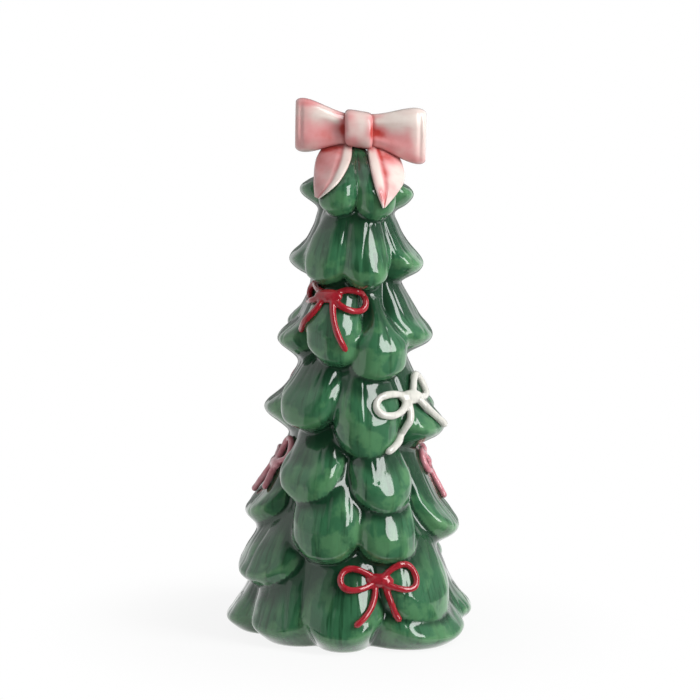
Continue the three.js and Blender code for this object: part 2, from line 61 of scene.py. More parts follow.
# The trunk that carries the branches, from the table to the tip
TRUNK_HEIGHTS = (0, 20, 41, 62, 85, 120, 155, 187, 205, 215)
TRUNK_RADII = (34, 38, 37.5, 33.5, 28.5, 23, 19, 16, 10.5, 5)
TIP_CAP = 2.5
TREE_TOP = TRUNK_HEIGHTS[-1] + TIP_CAP
BURY = 1.2  # how far a branch's edges run inside the trunk


def smoothstep(value: np.ndarray, low: float, high: float) -> np.ndarray:
    """A smooth rise from 0 at low to 1 at high.

    Args:
        value: The numbers to map.
        low: Where the rise starts.
        high: Where it ends.

    Returns:
        Numbers from 0 to 1.
    """
    share = np.clip((value - low) / (high - low), 0.0, 1.0)
    return share * share * (3.0 - 2.0 * share)


def plateau(value: np.ndarray, rise: tuple[float, float], fall: tuple[float, float]) -> np.ndarray:
    """A smooth rise from 0 to 1 between two numbers, and a smooth fall to 0 between two more."""
    return smoothstep(value, *rise) * (1 - smoothstep(value, *fall))


def bell(value: np.ndarray, middle: float, wide: float) -> np.ndarray:
    """A soft bump that is 1 at its middle."""
    return np.exp(-(((value - middle) / wide) ** 2))


def around(azimuth: np.ndarray, radius: np.ndarray, height: np.ndarray) -> np.ndarray:
    """Points at azimuths in degrees, radii and heights.

    Args:
        azimuth: Degrees from the front towards the right.
        radius: Distance from the tree's axis.
        height: Height above the table.

    Returns:
        An array of points with x, y and z in its last axis.
    """
    turn = np.radians(azimuth)
    return np.stack(np.broadcast_arrays(radius * np.sin(turn), -radius * np.cos(turn), height), axis=-1)


def through_knots(knots: np.ndarray, places: np.ndarray) -> np.ndarray:
    """A smooth line through knots, which passes each of them at an even pace.

    Args:
        knots: The points that it passes, in order.
        places: Shares of the way along it, from 0 to 1.

    Returns:
        The line's points there.
    """
    place = np.clip(places, 0, 1) * (len(knots) - 1)
    index = np.minimum(place.astype(int), len(knots) - 2)
    t = (place - index)[:, None]
    before, start = knots[np.maximum(index - 1, 0)], knots[index]
    end, after = knots[index + 1], knots[np.minimum(index + 2, len(knots) - 1)]
    leave, arrive = (end - before) / 2, (after - start) / 2
    cubic = (2 * start - 2 * end + leave + arrive) * t**3
    square = (-3 * start + 3 * end - 2 * leave - arrive) * t**2
    return cubic + square + leave * t + start


def blurred(values: np.ndarray, width: float, axis: int, wrap: bool) -> np.ndarray:
    """Values smoothed along one axis with a Gaussian.

    Args:
        values: The field.
        width: The Gaussian's standard deviation, in cells.
        axis: The axis to smooth along.
        wrap: Whether that axis runs round in a circle.

    Returns:
        The smoothed field.
    """
    reach = int(math.ceil(3 * width))
    offsets = np.arange(-reach, reach + 1)
    weights = np.exp(-0.5 * (offsets / width) ** 2)
    weights /= weights.sum()
    pad = [(0, 0)] * values.ndim
    pad[axis] = (reach, reach)
    padded = np.pad(values, pad, mode="wrap" if wrap else "edge")
    out = np.zeros_like(values)
    count = values.shape[axis]
    for weight, start in zip(weights, range(2 * reach + 1)):
        out += weight * np.take(padded, np.arange(start, start + count), axis=axis)
    return out


def evened(values: np.ndarray, tall: float, wide: float) -> np.ndarray:
    """A field over azimuth and height, smoothed by tall cells upwards and by wide cells round the tree."""
    return blurred(blurred(values, tall, 1, False), wide, 0, True)


# The branches and the surface that they make together

# How much of the way out to its nose a branch has made at one and at two thirds of its back
HOLLOW_BACK = (0.2, 0.52)
EASED_BACK = (0.28, 0.6)
LOW_BACK = (0.24, 0.56)
FULL_BACK = (0.42, 0.78)
FULL_SHOULDER = 0.9


@dataclass(frozen=True)
class Branch:
    """One branch: it hangs from its root, reaches furthest at its nose, and turns back under its lip."""

    at: float
    root: float
    nose: float
    reach: float  # the radius at its nose
    spread: float  # half its width, in degrees
    chin: float  # from the nose down to the hem
    tip: float  # how round the hem is, 1 being an arc
    flare: tuple[float, float]  # its back, as the pairs above give it
    lip: float = 4.2  # from the nose down to the lip, under which the clay turns in
    tuck: float = 4.0  # how far the lip lies behind the nose
    opening: float = 0.9  # the root's width as a share of the nose's
    skew: float = 0.0  # how much higher its right edge is than its middle
    shoulder: float = 2.2  # how far in the back is where it turns to the nose

    NOSE_ROUND = 4.2  # how far above its nose it turns
    BACK_FLATNESS = 2.6  # a higher power makes a flatter back
    SIDE_FALL = 0.58  # a lower power makes steeper sides
    OPEN_AT = 0.6  # how far down it has its full width
    POINTED_AT = 0.7  # how far down its sides have risen to their full height above the tip

    def spine(self, down: np.ndarray) -> tuple[np.ndarray, np.ndarray]:
        """The line down the middle of the branch's back.

        Args:
            down: Shares of the way from the root, 0, to under the chin, 1.

        Returns:
            The radii and the heights of the line.
        """
        root_radius = float(trunk_radius(np.array(self.root)))
        hem = self.nose - self.chin
        fall = self.root - self.nose
        knots = np.array(
            [
                (root_radius - BURY, self.root),
                (root_radius + (self.reach - root_radius) * self.flare[0], self.root - fall / 3),
                (root_radius + (self.reach - root_radius) * self.flare[1], self.root - fall * 2 / 3),
                (self.reach - self.shoulder, self.nose + self.NOSE_ROUND),
                (self.reach, self.nose),
                (self.reach - self.tuck, self.nose - self.lip),
                (float(trunk_radius(np.array(hem))) - BURY, hem),
            ]
        )
        line = through_knots(knots, down)
        return line[:, 0], line[:, 1]


def trunk_radius(height: np.ndarray) -> np.ndarray:
    """The trunk's radius at heights, with its rounded cap.

    Args:
        height: Heights above the table.

    Returns:
        Radii in millimetres.
    """
    radius = np.interp(height, TRUNK_HEIGHTS, TRUNK_RADII)
    into_cap = np.clip((height - TRUNK_HEIGHTS[-1]) / TIP_CAP, 0, 1)
    return radius * np.sqrt(1 - into_cap**2)


def full(row: Branch, **changes: float | tuple[float, float]) -> Branch:
    """A branch of a row with a full back, which drops straight to its nose, and with other changes."""
    return replace(row, **{"flare": FULL_BACK, "shoulder": FULL_SHOULDER} | changes)


def grown_branches() -> list[Branch]:
    """All branches, row by row from the tip down.

    Returns:
        The branches, each a row's shape with its own azimuth and changes.
    """
    tip_row = Branch(at=-150, root=216, nose=198, reach=26, spread=35, chin=8, tip=0.42, flare=(0.3, 0.62))
    second_row = replace(tip_row, at=-130, root=195, nose=168, reach=30, spread=31, flare=HOLLOW_BACK)
    third_row = replace(second_row, at=179, root=164, nose=134.5, reach=34.5, chin=8.5)
    fourth_row = replace(second_row, at=119, root=130, nose=100, reach=39.5, chin=9)
    fifth_row = Branch(at=136, root=96, nose=70, reach=42, spread=27, chin=9, tip=0.8, flare=EASED_BACK)
    sixth_row = Branch(at=157, root=88, nose=50, reach=48, spread=28, chin=9, tip=0.7, flare=LOW_BACK)
    seventh_row = replace(sixth_row, at=137, root=60, nose=27, reach=51.5, spread=29, tip=0.6)
    lowest_row = replace(sixth_row, at=138, root=44, nose=8, reach=53, spread=26, chin=15, tip=0.3)
    return [
        replace(tip_row, at=-86, reach=25),
        full(tip_row, at=-24, nose=196.5, spread=31, flare=(0.52, 0.84), lip=6.5, tuck=1.5, chin=9, tip=0.8),
        full(tip_row, at=29, nose=195, spread=31, flare=(0.52, 0.84), lip=7, tuck=1.6, chin=9.5, tip=0.8),
        replace(tip_row, at=84, nose=196),
        replace(tip_row, at=146, nose=197),
        tip_row,
        replace(second_row, at=-80, nose=167, reach=29),
        full(second_row, at=-33, nose=165.5, lip=6, tuck=1.6, chin=8.5, tip=0.75),
        full(second_row, at=13, nose=164, reach=30.5, lip=6, tuck=1.6, chin=8.5, tip=0.8),
        replace(second_row, at=69, nose=166, reach=32, spread=32, flare=EASED_BACK),
        replace(second_row, at=122),
        replace(second_row, at=172, nose=166),
        second_row,
        replace(third_row, at=-80, nose=131.5, reach=34, chin=10, flare=(0.12, 0.4)),
        full(third_row, at=-21, nose=135.5, lip=10, tuck=1.9, chin=12.5, tip=0.8, skew=-4),
        full(third_row, at=27, root=154, nose=129, reach=35.5, lip=10, tuck=1.9, chin=12.5, tip=0.5,
             opening=0.25, skew=1.5),
        replace(third_row, at=77, reach=36, spread=38, flare=EASED_BACK),
        replace(third_row, at=130, nose=132),
        third_row,
        replace(third_row, at=-131, nose=136),
        replace(fourth_row, at=-90, nose=100.5, chin=10.5, flare=(0.16, 0.46)),
        full(fourth_row, at=-39, nose=103, reach=40, lip=7, tuck=1.6, chin=9.5, tip=0.9),
        full(fourth_row, at=13, nose=97.5, lip=12.5, tuck=2.3, chin=15, tip=0.95),
        replace(fourth_row, at=68, nose=94, reach=43, spread=32, flare=EASED_BACK),
        fourth_row,
        replace(fourth_row, at=169, nose=98),
        replace(fourth_row, at=-140),
        full(fifth_row, at=-31, nose=70.5, reach=44.5, lip=5.5, tuck=1.6, tip=0.9),
        full(fifth_row, at=22, nose=68, reach=46.5, spread=24, lip=6, tuck=1.6, tip=0.95),
        fifth_row,
        replace(fifth_row, at=-178, nose=72, reach=45),
        replace(fifth_row, at=-136),
        replace(sixth_row, at=-82, nose=54, reach=47.5),
        full(sixth_row, at=-16, nose=51, spread=25, lip=11, tuck=2.1, chin=13.5, tip=0.9),
        full(sixth_row, at=25, nose=48, spread=22, lip=8, tuck=1.8, chin=10.5, tip=0.75),
        replace(sixth_row, at=80, nose=49, reach=49.5),
        replace(sixth_row, at=113, nose=48),
        sixth_row,
        replace(sixth_row, at=-156, nose=48),
        replace(sixth_row, at=-118, nose=52),
        replace(seventh_row, at=-61, nose=29.5, reach=53, spread=30, flare=(0.4, 0.75)),
        full(seventh_row, at=45, nose=20, reach=52.5, lip=8, tuck=1.9, chin=10.5, tip=0.8),
        seventh_row,
        replace(seventh_row, at=-170, nose=24),
        replace(seventh_row, at=-113, nose=28),
        replace(lowest_row, at=-88, nose=5.5, reach=55.4),
        full(lowest_row, at=-44, nose=6.5, reach=52.5, spread=27, tip=0.35),
        full(lowest_row, at=-4, nose=6.5, reach=53.5, flare=(0.46, 0.82), tip=0.85),
        replace(lowest_row, at=52, nose=5, reach=57, spread=37),
        replace(lowest_row, at=92, nose=10, reach=55.6),
        lowest_row,
        replace(lowest_row, at=-177, nose=7),
        replace(lowest_row, at=-131),
    ]


@dataclass
class Outside:
    """The outside of the tree as a field of radii over azimuth and height.

    Every branch is drawn into the field, and a soft maximum joins them, as glaze rounds the creases.
    """

    branches: list[Branch] = field(default_factory=grown_branches)
    columns: int = 840
    step: float = 0.25  # the height of a cell
    samples: int = 260  # along a branch's back
    glaze_fill: float = 1.25  # how softly two surfaces meet
    softened_tall: float = 4.5  # cells over which the glaze evens out the clay, upwards
    softened_wide: float = 4.0
    felt_tall: float = 8.0  # cells over which the way out of the clay is evened out
    felt_wide: float = 6.0

    HIGH_RADIUS = 50.0  # near the largest radius, so that the exponentials stay in range
    SIDE_FADE = 0.06  # the shares of a branch's width and length over which its edges fade in
    ROOT_FADE = 0.03
    STROKES_APART = 23.7  # tells each branch's brush strokes from the others'

    def __post_init__(self) -> None:
        """Draws the field."""
        self.azimuths = np.arange(self.columns) * 360.0 / self.columns
        self.heights = np.arange(0, TREE_TOP + self.step, self.step)
        shape = (self.columns, len(self.heights))
        trunk = np.broadcast_to(trunk_radius(self.heights), shape)
        self._sum = np.exp((trunk - self.HIGH_RADIUS) / self.glaze_fill)
        self._best = np.array(trunk)
        self.across = np.zeros(shape)
        self.brush = np.zeros(shape + (3,))
        self.down = np.zeros(shape)
        for number, branch in enumerate(self.branches):
            self._draw(branch, number)
        joined = self.HIGH_RADIUS + self.glaze_fill * np.log(self._sum)
        self.radius = evened(joined, self.softened_tall, self.softened_wide)
        self.soft_radius = evened(self.radius, self.felt_tall, self.felt_wide)

    def _draw(self, branch: Branch, number: int) -> None:
        """Draws one branch into the field, column by column.

        Args:
            branch: The branch.
            number: Its place in the list.
        """
        down = np.linspace(0, 1, self.samples)
        spine_radius, spine_height = branch.spine(down)
        run = np.concatenate([[0], np.cumsum(np.hypot(np.diff(spine_radius), np.diff(spine_height)))])
        opening = branch.opening + (1 - branch.opening) * smoothstep(down, 0, branch.OPEN_AT)
        half_width = branch.reach * math.radians(branch.spread)
        pointed = half_width * branch.tip * smoothstep(down, 0, branch.POINTED_AT)
        offsets = (self.azimuths - branch.at + 180) % 360 - 180
        for column in np.flatnonzero(np.abs(offsets) < branch.spread):
            across = offsets[column] / (branch.spread * opening)
            fits = np.abs(across) < 1
            aside = np.clip(np.abs(across), 0, 1)
            height = spine_height + pointed * (1 - np.sqrt(1 - aside**2)) + branch.skew * across * down
            inside = trunk_radius(height) - BURY
            fullness = (1 - aside**branch.BACK_FLATNESS) ** branch.SIDE_FALL
            radius = np.maximum(inside, inside + (spine_radius - inside) * fullness)
            keep = fits & (np.maximum.accumulate(height[::-1])[::-1] == height)
            if keep.sum() < 2:
                continue
            rise, out, aside_kept, share_kept = (v[keep][::-1] for v in (height, radius, across, down))
            rows = (self.heights >= rise[0]) & (self.heights <= rise[-1])
            if not rows.any():
                continue
            drawn, share, aside_there = (
                np.interp(self.heights[rows], rise, values) for values in (out, share_kept, aside_kept)
            )
            edge = smoothstep(1 - np.abs(aside_there), 0, self.SIDE_FADE)
            edge *= smoothstep(share, 0, self.ROOT_FADE)
            self._sum[column, rows] += edge * np.exp((drawn - self.HIGH_RADIUS) / self.glaze_fill)
            wins = drawn > self._best[column, rows]
            picked = np.flatnonzero(rows)[wins]
            self._best[column, picked] = drawn[wins]
            self.across[column, picked] = aside_there[wins]
            self.down[column, picked] = share[wins]
            self.brush[column, picked, 0] = aside_there[wins] * half_width
            self.brush[column, picked, 1] = np.interp(share, down, run)[wins]
            self.brush[column, picked, 2] = (number + 1) * self.STROKES_APART

    def sample(self, values: np.ndarray, azimuth: np.ndarray, height: np.ndarray) -> np.ndarray:
        """A field's values between its cells.

        Args:
            values: One of this object's fields.
            azimuth: Azimuths in degrees.
            height: Heights above the table.

        Returns:
            The values there.
        """
        column = (np.asarray(azimuth, float) % 360) / 360 * self.columns
        row = np.clip(np.asarray(height, float) / self.step, 0, len(self.heights) - 1.001)
        left, low = np.floor(column).astype(int), np.floor(row).astype(int)
        u, v = column - left, row - low
        left, right = left % self.columns, (left + 1) % self.columns
        lower = values[left, low] * (1 - u) + values[right, low] * u
        upper = values[left, low + 1] * (1 - u) + values[right, low + 1] * u
        return lower * (1 - v) + upper * v

    def nearest(self, values: np.ndarray, azimuth: np.ndarray, height: np.ndarray) -> np.ndarray:
        """A field's values at its nearest cells, for fields that jump between branches."""
        column = np.rint((np.asarray(azimuth, float) % 360) / 360 * self.columns).astype(int) % self.columns
        row = np.clip(np.rint(np.asarray(height, float) / self.step).astype(int), 0, len(self.heights) - 1)
        return values[column, row]

    def outward(self, azimuth: np.ndarray, height: np.ndarray) -> np.ndarray:
        """The way out of the clay, evened out over a few millimetres.

        Args:
            azimuth: Azimuths in degrees.
            height: Heights above the table.

        Returns:
            Unit vectors.
        """
        turn, rise = 2.0, 1.5
        to_right = self._soft_point(azimuth + turn, height) - self._soft_point(azimuth - turn, height)
        to_top = self._soft_point(azimuth, height + rise) - self._soft_point(azimuth, height - rise)
        normal = np.cross(to_right, to_top)
        return normal / np.linalg.norm(normal, axis=-1, keepdims=True)

    def _soft_point(self, azimuth: np.ndarray, height: np.ndarray) -> np.ndarray:
        """A point on the evened out surface."""
        return around(azimuth, self.sample(self.soft_radius, azimuth, height), height)


# Meshes


def make_mesh(name: str, points: np.ndarray, faces: list) -> bpy.types.Mesh:
    """A Blender mesh from points in millimetres.

    Args:
        name: The mesh's name.
        points: Its points.
        faces: Tuples of point numbers, facing out.

    Returns:
        The mesh, with smooth faces.
    """
    mesh = bpy.data.meshes.new(name)
    mesh.from_pydata((np.asarray(points) * MM).tolist(), [], faces)
    mesh.polygons.foreach_set("use_smooth", np.ones(len(mesh.polygons), bool))
    mesh.update()
    return mesh


def show(name: str, data: bpy.types.ID) -> bpy.types.Object:
    """Puts a mesh, a lamp or a camera in the scene as an object at the origin."""
    made = bpy.data.objects.new(name, data)
    bpy.context.scene.collection.objects.link(made)
    return made


def points_of(mesh: bpy.types.Mesh) -> np.ndarray:
    """A mesh's points in millimetres."""
    flat = np.zeros(len(mesh.vertices) * 3)
    mesh.vertices.foreach_get("co", flat)
    return flat.reshape(-1, 3) / MM


def store(mesh: bpy.types.Mesh, name: str, values: np.ndarray) -> None:
    """Stores one number or vector for each point of a mesh as an attribute.

    Args:
        mesh: The mesh.
        name: The attribute's name, which materials read.
        values: One number, or three, for each point.
    """
    kind, key = ("FLOAT", "value") if values.ndim == 1 else ("FLOAT_VECTOR", "vector")
    attribute = mesh.attributes.get(name) or mesh.attributes.new(name, kind, "POINT")
    attribute.data.foreach_set(key, np.ascontiguousarray(values, np.float32).ravel())


def hollowness(mesh: bpy.types.Mesh, passes: int) -> np.ndarray:
    """How deep each point lies in a hollow, in millimetres, and below 0 on a ridge.

    The mesh is evened out in passes, and the distance that a point moves outwards is its hollowness.

    Args:
        mesh: A closed mesh with even faces.
        passes: How often it is evened out, which sets the width of the hollows that are found.

    Returns:
        One number for each point.
    """
    pace = 0.6  # how much of the way to its neighbours' middle a point moves in a pass
    count = len(mesh.vertices)
    edges = np.zeros(len(mesh.edges) * 2, np.int64)
    mesh.edges.foreach_get("vertices", edges)
    start, end = edges.reshape(-1, 2).T
    normals = np.zeros(count * 3)
    mesh.vertex_normals.foreach_get("vector", normals)
    points = points_of(mesh)
    neighbours = np.bincount(start, minlength=count) + np.bincount(end, minlength=count)
    moved = points.copy()
    for _ in range(passes):
        total = np.empty_like(moved)
        for axis in range(3):
            values = moved[:, axis]
            total[:, axis] = np.bincount(start, values[end], count) + np.bincount(end, values[start], count)
        moved += pace * (total / np.maximum(neighbours, 1)[:, None] - moved)
    return ((moved - points) * normals.reshape(-1, 3)).sum(axis=1)


def store_hollows(mesh: bpy.types.Mesh, fine: tuple[int, float], wide: tuple[int, float]) -> None:
    """Stores how deep each point lies in the narrow and in the wide hollows, where glaze runs together.

    Args:
        mesh: The mesh.
        fine: The passes that find the narrow hollows, and how much they count.
        wide: The same for the wide hollows.
    """
    for name, (passes, much) in {"hollow_fine": fine, "hollow_wide": wide}.items():
        store(mesh, name, hollowness(mesh, passes) * much)


def plain_mesh(made: bpy.types.Object) -> bpy.types.Object:
    """Turns what an object's modifiers make into its own mesh, and removes them.

    Args:
        made: The object.

    Returns:
        The same object.
    """
    bpy.context.view_layer.update()
    evaluated = made.evaluated_get(bpy.context.evaluated_depsgraph_get())
    result = bpy.data.meshes.new_from_object(evaluated)
    result.name = made.name
    made.modifiers.clear()
    made.data = result
    result.polygons.foreach_set("use_smooth", np.ones(len(result.polygons), bool))
    result.update()
    return made


def loft(rings: np.ndarray) -> tuple[np.ndarray, list]:
    """A closed tube through rings of points.

    Args:
        rings: An array of rings by points by three. Seen from outside, a ring runs anticlockwise about the
            way from the first ring to the last.

    Returns:
        Its points and faces.
    """
    count, around_ring = rings.shape[:2]
    points = np.concatenate([rings.reshape(-1, 3), rings[0].mean(0)[None], rings[-1].mean(0)[None]])
    faces = []
    for ring in range(count - 1):
        for i in range(around_ring):
            a, b = ring * around_ring + i, ring * around_ring + (i + 1) % around_ring
            faces.append((a, b, b + around_ring, a + around_ring))
    first, last, top = len(points) - 2, len(points) - 1, (count - 1) * around_ring
    for i in range(around_ring):
        j = (i + 1) % around_ring
        faces += [(j, i, first), (top + i, top + j, last)]
    return points, faces


# Node trees


def add(
    tree: bpy.types.NodeTree, kind: str, inputs: dict | None = None, **settings: object
) -> bpy.types.Node:
    """Adds a node with its settings, values and links.

    Args:
        tree: The node tree.
        kind: The node's type.
        inputs: For each input, by name or number, its value or the output socket that feeds it.
        settings: The node's own properties.

    Returns:
        The node.
    """
    node = tree.nodes.new(kind)
    for name, value in settings.items():
        setattr(node, name, value)
    for key, value in (inputs or {}).items():
        if isinstance(value, bpy.types.NodeSocket):
            tree.links.new(value, node.inputs[key])
        else:
            node.inputs[key].default_value = value
    return node


def set_input(modifier: bpy.types.NodesModifier, name: str, value: object) -> None:
    """Sets a modifier's input by the identifier of the socket with that name."""
    for item in modifier.node_group.interface.items_tree:
        if item.item_type == "SOCKET" and item.in_out == "INPUT" and item.name == name:
            modifier[item.identifier] = value
            return
    raise KeyError(name)


def new_geometry_tree(name: str, inputs: dict[str, tuple[str, object]]) -> bpy.types.NodeTree:
    """An empty Geometry Nodes tree with named inputs.

    Args:
        name: The tree's name.
        inputs: For each input, its socket type and its default, or None.

    Returns:
        The tree, with a geometry input and output.
    """
    tree = bpy.data.node_groups.new(name, "GeometryNodeTree")
    tree.interface.new_socket("Geometry", in_out="INPUT", socket_type="NodeSocketGeometry")
    tree.interface.new_socket("Geometry", in_out="OUTPUT", socket_type="NodeSocketGeometry")
    for label, (kind, default) in inputs.items():
        socket = tree.interface.new_socket(label, in_out="INPUT", socket_type=kind)
        if default is not None:
            socket.default_value = default
    return tree


# Finishes


def linear(colour: str) -> tuple[float, float, float, float]:
    """An sRGB hex colour as linear red, green, blue and alpha."""
    values = [int(colour[i : i + 2], 16) / 255 for i in (1, 3, 5)]
    return tuple(v / 12.92 if v <= 0.04045 else ((v + 0.055) / 1.055) ** 2.4 for v in values) + (1.0,)


def new_material(name: str) -> bpy.types.Material:
    """A material with an empty node tree."""
    made = bpy.data.materials.new(name)
    made.use_nodes = True
    made.node_tree.nodes.clear()
    return made


@dataclass(frozen=True)
class BrushedGlaze:
    """A coloured lead-free glaze, brushed onto earthenware and fired to a clear gloss.

    It shows the brush strokes, is darker where it has run into a hollow and where painted shade lies on the
    mesh, and pale where it broke over an edge.
    """

    name: str
    body: str
    dark_stroke: str
    pale_stroke: str
    pooled_and_shaded: str
    broken: str
    stroke_wide: float  # mm between brush strokes
    stroke_long: float  # mm along a stroke
    pooling_and_shade: float  # how far a hollow and painted shade darken it
    breaking: float  # how far an edge shows the clay through it
    dark_share: float = 0.5
    pale_share: float = 0.5
    wash: str = ""  # a second colour, brushed on where the wash attribute says so, which also paints shade where the ribbon's parts meet
    deep_wash_and_shade: str = ""
    coat: float = 1.0
    coat_roughness: float = 0.045

    BROAD = 3.2  # how many times as wide as the fine strokes the broad ones are
    BROAD_SHIFT = 51.0  # moves the broad strokes' noise away from the fine ones'
    PATCH_WIDE = 9.0  # mm between the patches in which the glaze is thicker or thinner
    RIPPLE_WIDE = 2.6  # mm between the ripples of its surface
    RIPPLE_DEEP = 0.08  # mm
    THINNED = 0.12  # how much the thin glaze above a hem adds to the pale patches
    STROKE_RELIEF = 1.4  # how far the strokes stand out beside the ripples

    def material(self) -> bpy.types.Material:
        """The glaze as a material that reads the mesh's brush, hollow and ridge attributes.

        Returns:
            The material.
        """
        made = new_material(self.name)
        tree = made.node_tree
        fine, wide, beside, thin = (
            add(tree, "ShaderNodeAttribute", attribute_name=name).outputs["Fac"]
            for name in ("hollow_fine", "hollow_wide", "beside", "thin")
        )
        place = add(tree, "ShaderNodeTexCoord").outputs["Object"]
        strokes, broad = self._strokes(tree, 1.0, 0.0), self._strokes(tree, self.BROAD, self.BROAD_SHIFT)
        patches, ripple = (
            add(tree, "ShaderNodeTexNoise", {"Vector": place, "Scale": 1 / (apart * MM), "Detail": detail})
            for apart, detail in ((self.PATCH_WIDE, 4.0), (self.RIPPLE_WIDE, 1.0))
        )
        patchy = {0: thin, 1: self.THINNED, 2: patches.outputs["Fac"]}
        mottled = add(tree, "ShaderNodeMath", patchy, operation="MULTIPLY_ADD").outputs[0]
        # What each layer follows, where it starts and is full, how much it covers then, and its colour
        layers = [
            (strokes, 0.5, 0.32, self.dark_share, self.dark_stroke),
            (broad, 0.5, 0.68, self.pale_share, self.pale_stroke),
            (mottled, 0.54, 0.68, self.pale_share, self.pale_stroke),
            *(self._washes(tree, patches.outputs["Fac"]) if self.wash else ()),
            (fine, -0.12, -0.45, self.breaking, self.broken),
            # On the casting the wide hollows also carry painted shade at the branches' roots
            (wide, 0.1, 1.3, self.pooling_and_shade, self.pooled_and_shaded),
            (fine, 0.03, 0.3, self.pooling_and_shade, self.pooled_and_shaded),
            # Pooled glaze and painted contact shade where two pieces touch
            (beside, 0.0, 1.0, self.pooling_and_shade, self.pooled_and_shaded),
        ]
        colour = linear(self.body)
        for source, low, high, most, shade in layers:
            rise = {"Value": source, "From Min": low, "From Max": high, "To Max": most}
            share = add(tree, "ShaderNodeMapRange", rise, interpolation_type="SMOOTHSTEP").outputs["Result"]
            mixed = {"Factor": share, 6: colour, 7: linear(shade)}
            colour = add(tree, "ShaderNodeMix", mixed, data_type="RGBA").outputs[2]
        relief = {0: strokes, 1: self.STROKE_RELIEF, 2: ripple.outputs["Fac"]}
        height = add(tree, "ShaderNodeMath", relief, operation="MULTIPLY_ADD").outputs[0]
        uneven = {"Strength": 0.3, "Distance": self.RIPPLE_DEEP * MM, "Height": height}
        bump = add(tree, "ShaderNodeBump", uneven).outputs["Normal"]
        shader = add(
            tree,
            "ShaderNodeBsdfPrincipled",
            {
                "Base Color": colour,
                "Roughness": 0.16,
                "IOR": 1.52,
                "Specular IOR Level": 0.15,
                "Coat Weight": self.coat,
                "Coat Roughness": self.coat_roughness,
                "Coat IOR": 1.5,
                "Normal": bump,
                "Coat Normal": bump,
            },
        )
        add(tree, "ShaderNodeOutputMaterial", {"Surface": shader.outputs[0]})
        return made

    def _washes(self, tree: bpy.types.NodeTree, patches: bpy.types.NodeSocket) -> list[tuple]:
        """The layers of the second colour, one thin and one thick, each uneven from patch to patch.

        Args:
            tree: The material's tree.
            patches: The patches in which the glaze is thicker or thinner.

        Returns:
            The two layers.
        """
        brushed = add(tree, "ShaderNodeAttribute", attribute_name="wash").outputs["Fac"]
        spread = {"Value": patches, "From Min": 0.3, "From Max": 0.7, "To Min": 0.68, "To Max": 1.32}
        uneven = add(tree, "ShaderNodeMapRange", spread).outputs["Result"]
        washed = add(tree, "ShaderNodeMath", {0: brushed, 1: uneven}, operation="MULTIPLY").outputs[0]
        return [(washed, 0.05, 1.1, 1.0, self.wash), (washed, 0.95, 1.9, 1.0, self.deep_wash_and_shade)]

    def _strokes(self, tree: bpy.types.NodeTree, times: float, shift: float) -> bpy.types.NodeSocket:
        """Noise drawn out along the brush strokes.

        Args:
            tree: The material's tree.
            times: How many times as wide as the glaze's fine strokes these are.
            shift: An offset that tells one layer of strokes from another.

        Returns:
            The socket with the noise.
        """
        brush = add(tree, "ShaderNodeAttribute", attribute_name="brush").outputs["Vector"]
        size = (1 / (self.stroke_wide * times), 1 / self.stroke_long, 1.0)
        laid = {"Vector": brush, "Location": (shift, 0, 0), "Scale": size}
        scaled = add(tree, "ShaderNodeMapping", laid).outputs["Vector"]
        return add(tree, "ShaderNodeTexNoise", {"Vector": scaled, "Scale": 1.0, "Detail": 3.0}).outputs["Fac"]


@dataclass(frozen=True)
class BiscuitClay:
    """Unglazed white earthenware, wiped with a sponge: matt, warm and finely pitted."""

    name: str = "unglazed_earthenware"
    colour: str = "#d9cfbf"
    grain: float = 0.7  # mm between pits, coarser than real ones so that they show
    pit_deep: float = 0.1  # mm

    def material(self) -> bpy.types.Material:
        """The bare clay as a material.

        Returns:
            The material.
        """
        made = new_material(self.name)
        tree = made.node_tree
        place = add(tree, "ShaderNodeTexCoord").outputs["Object"]
        pits = {"Vector": place, "Scale": 1 / (self.grain * MM), "Detail": 3.0}
        grain = add(tree, "ShaderNodeTexNoise", pits).outputs["Fac"]
        spread = {"Value": grain, "From Min": 0.3, "From Max": 0.7, "To Min": 0.82, "To Max": 1.0}
        tone = add(tree, "ShaderNodeMapRange", spread).outputs["Result"]
        toned = {0: linear(self.colour)[:3], "Scale": tone}
        colour = add(tree, "ShaderNodeVectorMath", toned, operation="SCALE").outputs[0]
        bump = add(tree, "ShaderNodeBump", {"Strength": 0.5, "Distance": self.pit_deep * MM, "Height": grain})
        matt = {"Base Color": colour, "Roughness": 0.85, "Normal": bump.outputs["Normal"]}
        shader = add(tree, "ShaderNodeBsdfPrincipled", matt)
        add(tree, "ShaderNodeOutputMaterial", {"Surface": shader.outputs[0]})
        return made


